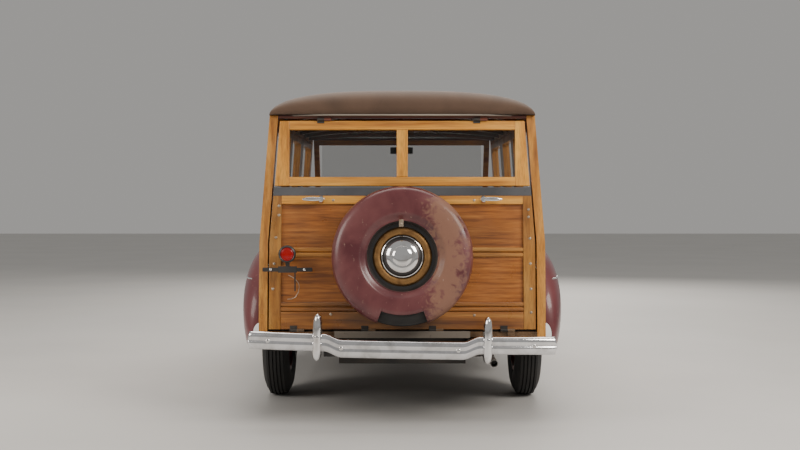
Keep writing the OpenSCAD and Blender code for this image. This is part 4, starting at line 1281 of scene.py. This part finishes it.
@dataclass
class Fenders:
    """Smooth pressed fenders with a bright strip, in the CAD's own shape."""

    name: str
    node: str
    tail: float
    nose: float
    foot: float
    crown: float
    axle: float
    power: float
    inner: Callable[[float], float]
    out: float = 0.898
    hub_z: float = 0.362
    arch: float = 0.4
    strip_z: float = 0.0
    sheet: float = 0.004

    def _across(self, y: float, z: float) -> tuple[float, float]:
        """Returns the outer skin's distance from the middle at a place, and the crown's height there.

        Args:
            y: Place along the car.
            z: Height.

        Returns:
            The distance and the height of the crown.
        """
        s = (y - (self.tail + self.nose) / 2) / ((self.nose - self.tail) / 2)
        top = self.foot + 0.03 + (self.crown - self.foot - 0.03) * dome_of(s, self.power)
        base = self.inner(y)
        wide = base + 0.01 + (self.out - base - 0.01) * dome_of(s, self.power + 0.4)
        mid = self.foot + (top - self.foot) * 0.42
        if z >= mid:
            return base + (wide - base) * dome_of((z - mid) / (top - mid), 2.1), top
        return wide - 0.018 * ((mid - z) / (mid - self.foot)) ** 2, top

    def _point(self, side: int, y: float, share: float) -> Vector:
        """Returns a point of the outer skin at a share of the way down from the crown.

        Args:
            side: Minus one on the left, one on the right.
            y: Place along the car.
            share: Share of the way down.

        Returns:
            The point.
        """
        top = self._across(y, self.foot)[1]
        away = abs(y - self.axle)
        low = self.foot
        if away < self.arch:
            low = min(top - 0.025, max(low, self.hub_z + math.sqrt(self.arch ** 2 - away ** 2)))
        z = top - (top - low) * (1 - math.cos(math.pi / 2 * share))
        return Vector((side * self._across(y, z)[0], y, z))

    def build(self) -> None:
        """Builds both fenders."""
        for side, label in SIDES:
            def shape(u: float, v: float, side: int = side) -> Vector:
                """Returns a point of the skin, down from the crown and along the fender."""
                share = (1 - math.cos(math.pi * v)) / 2 * 0.994 + 0.003
                return self._point(side, self.tail + (self.nose - self.tail) * share, u)

            made = Builder().skin(shape, 26, 110)
            thing = made.piece(f"{self.name}_{label}", "car", "burgundy", "maroon_paint", crisp=75,
                               thick=self.sheet, replaces=(self.node,))
            thing.modifiers["thickness"].offset = -1.0
            if self.strip_z:
                strip = Builder()
                path = []
                for k in range(81):
                    y = self.tail + (self.nose - self.tail) * (0.012 + 0.976 * k / 80)
                    x, top = self._across(y, self.strip_z)
                    if top > self.strip_z + 0.012:
                        path.append((side * (x + 0.0008), y, self.strip_z))
                strip.tube(path, 0.0042, 10)
                strip.piece(f"{self.name}_strip_{label}", "car", "chrome", "chrome")


@dataclass
class Cushion:
    """Stuffed seat part, blown up a little by a cloth simulation."""

    name: str
    lo: tuple[float, float, float]
    hi: tuple[float, float, float]
    lean: float = 0.0
    voxel: float = 0.016
    pleats: int = 9
    frames: int = 20
    swell: float = 0.024
    pleat_depth: float = 0.006

    def build(self) -> bpy.types.Object:
        """Builds the cushion and its pleats.

        Returns:
            The finished cushion.
        """
        low, high = Vector(self.lo), Vector(self.hi)
        hinge = Vector(((low.x + high.x) / 2, (low.y + high.y) / 2, low.z))
        at = Matrix.Translation(hinge) @ Matrix.Rotation(self.lean, 4, "X") @ Matrix.Translation(-hinge)
        made = Builder(at).box(self.lo, self.hi).piece(self.name, "car", "seat_leather", "leather")
        made.parent = None
        remesh = made.modifiers.new("even", "REMESH")
        remesh.mode, remesh.voxel_size = "VOXEL", self.voxel
        self._stuff(made)
        thin = (high - low).z < (high - low).y
        turned = at.inverted()
        for vertex in made.data.vertices:
            home = turned @ vertex.co
            groove = abs(math.sin(math.pi * self.pleats * (home.x - low.x) / (high.x - low.x)))
            middle = (home.y - low.y) / (high.y - low.y) if thin else (home.z - low.z) / (high.z - low.z)
            if 0.08 < middle < 0.92:
                centre = at @ ((low + high) / 2)
                push = Vector((0, 0, 1)) if thin else Vector((0, 1, 0))
                inward = 1 if (vertex.co - centre).dot(push) < 0 else -1
                vertex.co += push * inward * self.pleat_depth * (1 - groove) ** 3
        for polygon in made.data.polygons:
            polygon.use_smooth = True
        smooth = made.modifiers.new("round", "SUBSURF")
        smooth.levels = smooth.render_levels = 1
        self._apply(made, "round")
        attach(made, "car")
        return made

    def _stuff(self, made: bpy.types.Object) -> None:
        """Blows the cushion up with cloth under pressure, as far as its swell.

        Args:
            made: The cushion, with its remesh modifier still on it.
        """
        cloth = made.modifiers.new("stuffing", "CLOTH")
        cloth.settings.use_pressure = True
        cloth.settings.uniform_pressure_force = 4.0
        cloth.settings.tension_stiffness = 60
        cloth.settings.compression_stiffness = 60
        cloth.settings.effector_weights.gravity = 0.0
        cloth.point_cache.frame_start, cloth.point_cache.frame_end = 1, self.frames
        self._apply(made, "even")
        before = [v.co.copy() for v in made.data.vertices]
        for number in range(1, self.frames + 1):
            bpy.context.scene.frame_set(number)
        self._apply(made, "stuffing")
        for vertex, start in zip(made.data.vertices, before):
            move = vertex.co - start
            if move.length > self.swell:
                vertex.co = start + move.normalized() * self.swell

    @staticmethod
    def _apply(thing: bpy.types.Object, name: str) -> None:
        """Bakes one modifier into the mesh.

        Args:
            thing: Object that carries the modifier.
            name: Name of the modifier.
        """
        bpy.context.view_layer.update()
        graph = bpy.context.evaluated_depsgraph_get()
        mesh = bpy.data.meshes.new_from_object(thing.evaluated_get(graph), depsgraph=graph)
        thing.modifiers.remove(thing.modifiers[name])
        thing.data = mesh


@dataclass
class Seats:
    """Three bench seats, each with a cushion and a back."""

    rows: tuple[str, ...] = ("front_seat", "middle_seat", "rear_seat")
    deep: float = 0.42
    base: float = 0.17
    edge: float = 0.022
    lean: float = 8.5

    def build(self) -> None:
        """Builds every bench inside its CAD node's box."""
        edge = self.edge
        for node in self.rows:
            lo, hi = corners(node)
            base = Cushion(f"{node}_cushion", (lo.x + edge, hi.y - self.deep + edge - 0.02, lo.z + 0.004),
                           (hi.x - edge, hi.y - edge, lo.z + self.base - 0.012)).build()
            back = Cushion(f"{node}_back", (lo.x + edge, hi.y - self.deep - 0.09, lo.z + self.base - 0.03),
                           (hi.x - edge, hi.y - self.deep + 0.005, hi.z - edge), math.radians(self.lean)).build()
            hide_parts(node)
            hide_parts(node)


# ---------------------------------------------------------------- finishes of the CAD's own nodes
NODE_FINISH = {
    "chassis_frame": "chassis_black", "front_axle": "chassis_black", "rear_axle": "chassis_black",
    "engine_block": "raw_steel", "exhaust_pipe": "raw_steel", "fuel_tank": "chassis_black",
    "body_floor": "floor_boards", "cowl": "burgundy", "windshield_frame": "ash_along_x",
    "windshield_glass": "window_glass", "front_clip": "burgundy", "headlamps": "burgundy",
    "running_boards": "seal_rubber", "left_body_side": "ash_along_z", "right_body_side": "ash_along_z",
    "quarter_glass": "window_glass", "roof_bows": "bow_wood", "seat_frames": "chassis_black",
    "steering_column": "chassis_black", "steering_wheel": "wheel_plastic", "hood": "burgundy",
    "left_knuckle": "chassis_black", "right_knuckle": "chassis_black",
    "liftgate_glass": "window_glass", "tailgate_cap": "cap_paint", "spare_carrier": "raw_steel",
    "spare_wheel": "lamp_black", "front_fenders": "burgundy", "rear_fenders": "burgundy",
}


ENDING_FINISH = {"glass": "window_glass", "door": "ash_along_z", "tyre": "tyre_rubber"}


def finish_nodes(frame: dict) -> None:
    """Gives every CAD node its material, by its name or by the end of its name.

    Args:
        frame: The loaded frame, with its nodes.
    """
    for name, node in frame["nodes"].items():
        finish = NODE_FINISH.get(name) or ENDING_FINISH.get(name.split("_")[-1], "burgundy")
        node.data.materials.clear()
        node.data.materials.append(MATERIALS[finish])


@dataclass
class Panels:
    """Mahogany panels that fill the recesses of the doors and the quarters."""

    deep: float = 0.0115
    stile: float = 0.062
    sill: float = 0.445
    bend: float = 0.95
    belt: float = 1.205
    gap: float = 0.008
    taper: float = 0.0732
    skin: float = 0.764

    def _board(self, name: str, body: str, side: int, y: tuple[float, float], z: tuple[float, float]) -> None:
        """Adds one thin board that follows the leaning side.

        Args:
            name: Name of the piece.
            body: CAD body that carries it.
            side: Minus one on the left, one on the right.
            y: First and last place along the car.
            z: Lower and upper height.
        """
        def at(v: float, depth: float) -> float:
            """Returns the place across at a height and a depth below the skin."""
            return side * (self.skin - max(0.0, v - self.bend) * self.taper - depth)

        made = Builder()
        outline = [(at(v, self.deep), v) for v in z] + [(at(v, self.deep + 0.0016), v) for v in reversed(z)]
        made.prism(outline, *y)
        made.piece(name, body, "mahogany_along_y", "mahogany")

    def build(self) -> None:
        """Builds the panels of both sides."""
        edge = self.stile
        fender = corners("rear_fenders")[1]
        low = (self.sill + edge, self.bend - edge + 0.02)
        quarter_lo, quarter_hi = corners("quarter_glass")
        for side, label in SIDES:
            for end in ("front", "rear"):
                body = f"{end}_{label}_door"
                lo, hi = corners(body)
                self._board(f"{body}_panel_upper", body, side, (lo.y + edge, hi.y - edge),
                            (self.bend + 0.02, self.belt - edge))
                start = lo.y + edge if end == "front" else fender.y + self.gap + edge + 0.03
                self._board(f"{body}_panel_lower", body, side, (start, hi.y - edge), low)
            self._board(f"quarter_panel_{label}", "car", side, (quarter_lo.y - 0.032, quarter_hi.y - 0.0005),
                        (fender.z + 0.061, self.belt - edge - 0.0005))


@dataclass
class Nose:
    """Grille bars, hood strip and lamp glasses of the steel front."""

    base_y: float = 0.86
    long: float = 1.4
    wide: float = 0.545
    hood_z: float = 0.89
    rise: float = 0.32
    bars: int = 12
    bar_z: float = 0.53
    pitch: float = 0.029
    lens_r: float = 0.079
    rim_r: float = 0.0965

    def _skin(self, x: float, z: float) -> float:
        """Returns how far forward the nose stands at a place across and up.

        Args:
            x: Place across.
            z: Height.

        Returns:
            The place along the car.
        """
        share = max(0.0, 1 - abs(x / self.wide) ** (1 / 0.62)) ** (1 / 1.7)
        pull = 0.046 * (max(0.0, self.hood_z - z) / 0.42) ** 1.6
        return self.base_y + self.long * share - pull * share

    def build(self) -> None:
        """Builds the pieces."""
        grille = Builder()
        for k in range(self.bars):
            z = self.bar_z + self.pitch * k
            reach = 0.15 + 0.07 * math.sin(math.pi * (k + 1) / (self.bars + 1))
            across = [reach * (2 * n / 40 - 1) for n in range(41)]
            grille.tube([(x, self._skin(x, z) + 0.0035, z) for x in across], 0.0055, 10)
        grille.piece("grille_bars", "car", "chrome", "chrome")
        strip = Builder()
        path = []
        for n in range(61):
            y = self.base_y + 0.05 + (self.long - 0.09) * n / 60
            share = (y - self.base_y) / self.long
            path.append((0.0, y, self.hood_z + self.rise * (1 - share ** 3.4) ** 0.45 + 0.001))
        strip.tube(path, 0.0065, 10)
        strip.piece("hood_strip", "hood", "chrome", "chrome")
        lo, hi = corners("headlamps")
        lift = (lo.z + hi.z) / 2
        for side, label in SIDES:
            at = Vector((side * (hi.x - self.rim_r), hi.y, lift))
            shell = Builder()
            shell.lathe_facing([(0.0975, -0.03), (0.0978, -0.13), (0.094, -0.17), (0.082, -0.215), (0.058, -0.25),
                                (0.03, -0.268), (0.0, -0.272)], at, AHEAD, 64, WHOLE)
            shell.piece(f"headlamp_shell_{label}", "car", "burgundy", "maroon_paint", thick=0.001)
            rim = Builder()
            rim.lathe_facing([(0.0972, -0.03), (0.1005, -0.02), (0.0985, -0.006), (0.089, 0.004), (0.081, 0.006),
                              (0.0785, 0.001)], at, AHEAD, 64, WHOLE)
            rim.piece(f"headlamp_rim_{label}", "car", "bright_chrome", "chrome")
            lens = Builder()
            flutes = [(self.lens_r * (1 - k / 14),
                       0.0015 + 0.014 * math.sin(math.pi / 2 * k / 14) + 0.0008 * (k % 2)) for k in range(15)]
            lens.lathe_facing(flutes, at, AHEAD, 64, WHOLE)
            lens.piece(f"headlamp_lens_{label}", "car", "clear_lens", "glass")


@dataclass
class Details:
    """Small fittings: door handles, running-board ribs, sill strip, mirror and gauges."""

    handle_z: float = 0.975
    skin: float = 0.764
    handle_long: float = 0.105
    ribs: int = 7

    def build(self) -> None:
        """Builds every fitting."""
        for side, label in SIDES:
            for end in ("front", "rear"):
                body = f"{end}_{label}_door"
                lo, _ = corners(body)
                y = lo.y + 0.042 + (0.012 if end == "rear" else 0.0)
                x = self.skin - 0.0025
                made = Builder()
                made.lathe([(0.021, 0.0), (0.021, 0.06), (0.011, 0.14), (0.0095, 0.8), (0.012, 0.9), (0.0, 1.0)],
                           (side * x, y, self.handle_z), Vector((side * 0.046, 0, 0)), 24)
                path = [(side * (x + 0.04 + 0.005 * math.sin(math.pi * n / 12)),
                         y - 0.006 + self.handle_long * n / 12,
                         self.handle_z - 0.004 * (n / 12) ** 2) for n in range(13)]
                made.tube(path, 0.0068, 12)
                made.piece(f"{body}_handle", body, "bright_chrome", "chrome", crisp=60)
            lo, hi = corners("running_boards")
            ribs = Builder()
            for k in range(self.ribs):
                x = self.skin + 0.012 + 0.1 * k / (self.ribs - 1)
                a, b = sorted((side * x, side * (x + 0.006)))
                ribs.box((a, lo.y + 0.01, hi.z - 0.001), (b, hi.y - 0.01, hi.z + 0.003))
            ribs.piece(f"running_board_ribs_{label}", "car", "seal_rubber", "rubber", 0.001)
        lo, hi = corners("body_floor")
        Builder().box((-0.36, lo.y - 0.0016, lo.z + 0.001), (0.36, lo.y + 0.004, lo.z + 0.037)).piece(
            "sill_strip", "car", "sill_paint", "steel", 0.0005)
        lo, hi = corners("windshield_frame")
        mirror = Builder()
        mirror.rod((0, lo.y + 0.03, hi.z - 0.05), (0, lo.y - 0.012, hi.z - 0.085), 0.005)
        mirror.box((-0.085, lo.y - 0.025, hi.z - 0.115), (0.085, lo.y - 0.012, hi.z - 0.065))
        mirror.piece("inner_mirror", "car", "lamp_black", "dark_plastic", 0.004)
        lo, hi = corners("cowl")
        face = lo.y - 0.0005
        for k, (x, r) in enumerate(((-0.40, 0.052), (-0.27, 0.052), (0.0, 0.038), (0.12, 0.038))):
            gauge = Builder()
            gauge.lathe_facing([(0.0, 0.001), (r - 0.006, 0.001)], (x, face, 1.115), BACK, 48, WHOLE)
            gauge.piece(f"gauge_{k}", "car", "gauge_cream", "dark_plastic")
            rim = Builder()
            rim.lathe_facing([(r, -0.001), (r, 0.004), (r - 0.004, 0.006), (r - 0.007, 0.001)], (x, face, 1.115),
                             BACK, 48, WHOLE)
            rim.piece(f"gauge_rim_{k}", "car", "chrome", "chrome")


# ---------------------------------------------------------------- studio
@dataclass(frozen=True)
class Studio:
    """Plain pale floor, soft lights and the camera behind the car."""

    eye: tuple[float, float, float] = (-0.012, -8.476, 1.2)
    pitch: float = -1.38
    lens: float = 54.27
    floor: Colour = (0.62, 0.61, 0.59)

    def build(self) -> None:
        """Builds floor, lights, world and camera."""
        s = Shader("studio_floor")
        s.set(Roughness=0.75)
        worn = tuple(0.94 * c for c in self.floor)
        s.plug("Base Color", s.ramp(s.noise(0.9, EVEN, 6), (0.3, worn), (0.7, self.floor)))
        mesh = bpy.data.meshes.new("studio_floor")
        mesh.from_pydata([(-30, -30, 0), (30, -30, 0), (30, 30, 0), (-30, 30, 0)], [], [(0, 1, 2, 3)])
        mesh.materials.append(s.material)
        ground = bpy.data.objects.new("studio_floor", mesh)
        bpy.context.scene.collection.objects.link(ground)
        for name, place, aim, size, power in (
                ("key", (4.6, -5.6, 4.4), (0, -1.6, 0.9), (3.2, 2.4), 330),
                ("fill", (-5.2, -5.0, 3.2), (0, -1.6, 0.9), (3.4, 2.6), 170),
                ("top", (0, 0.4, 5.4), (0, 0, 0), (5.0, 6.0), 270),
                ("front", (1.5, 7.5, 4.0), (0, 2.0, 0.6), (4.0, 3.0), 300)):
            lamp = bpy.data.lights.new(name, "AREA")
            lamp.color = (1.0, 0.94, 0.87)
            lamp.shape, lamp.size, lamp.size_y, lamp.energy = "RECTANGLE", size[0], size[1], power
            thing = bpy.data.objects.new(name, lamp)
            thing.location = place
            thing.rotation_euler = (Vector(aim) - Vector(place)).to_track_quat("-Z", "Y").to_euler()
            bpy.context.scene.collection.objects.link(thing)
        world = bpy.data.worlds.new("studio")
        world.use_nodes = True
        world.node_tree.nodes["Background"].inputs[0].default_value = (0.84, 0.82, 0.79, 1)
        world.node_tree.nodes["Background"].inputs[1].default_value = 0.42
        bpy.context.scene.world = world
        camera = bpy.data.cameras.new("camera")
        camera.lens, camera.sensor_width = self.lens, 36.0
        eye = bpy.data.objects.new("camera", camera)
        eye.location = self.eye
        eye.rotation_euler = (math.radians(90 + self.pitch), 0, 0)
        bpy.context.scene.collection.objects.link(eye)
        bpy.context.scene.camera = eye


def main() -> None:
    """Loads the frame, builds each group of pieces and reports it."""
    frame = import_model()
    for finish in FINISHES:
        MATERIALS[finish.name] = finish.build()
    MATERIALS["cover_burgundy"] = CoverPaint("cover_burgundy", (0.085, 0.017, 0.022), (0.17, 0.052, 0.052),
                                             (0.27, 0.135, 0.08), (0.0, -2.3, 0.88)).build()
    finish_nodes(frame)
    gate = GateFrame().build(frame)
    Tailgate().build(gate)
    Liftgate().build(gate)
    Latches().build(gate)
    TailLamp().build()
    Spare().build(gate)
    Tyre("spare_tyre_tread", "spare", "spare_tyre").build(gate)
    for end in ("front", "rear"):
        for side, label in SIDES:
            body = f"{end}_{label}_wheel"
            Tyre(f"{end}_{label}_tyre_tread", body, f"{end}_{label}_tyre").build()
            RoadWheel(body, side).build()
    Bumper("rear_bumper", "rear_bumper", -1).build()
    Bumper("front_bumper", "front_bumper", 1, tilt=0.0, dip=0.0, guard_x=0.314).build()
    Nose().build()
    Details().build()
    Roof().build()
    Fenders("rear_fender", "rear_fenders", -2.015, -0.635, 0.398, 0.918, -1.16, 2.5, lambda y: 0.7644,
            strip_z=0.747).build()
    Fenders("front_fender", "front_fenders", 0.69, 2.268, 0.446, 0.935, 1.685, 2.6, nose_half).build()
    Panels().build()
    Seats().build()
    Studio().build()


if __name__ == "__main__":
    main()
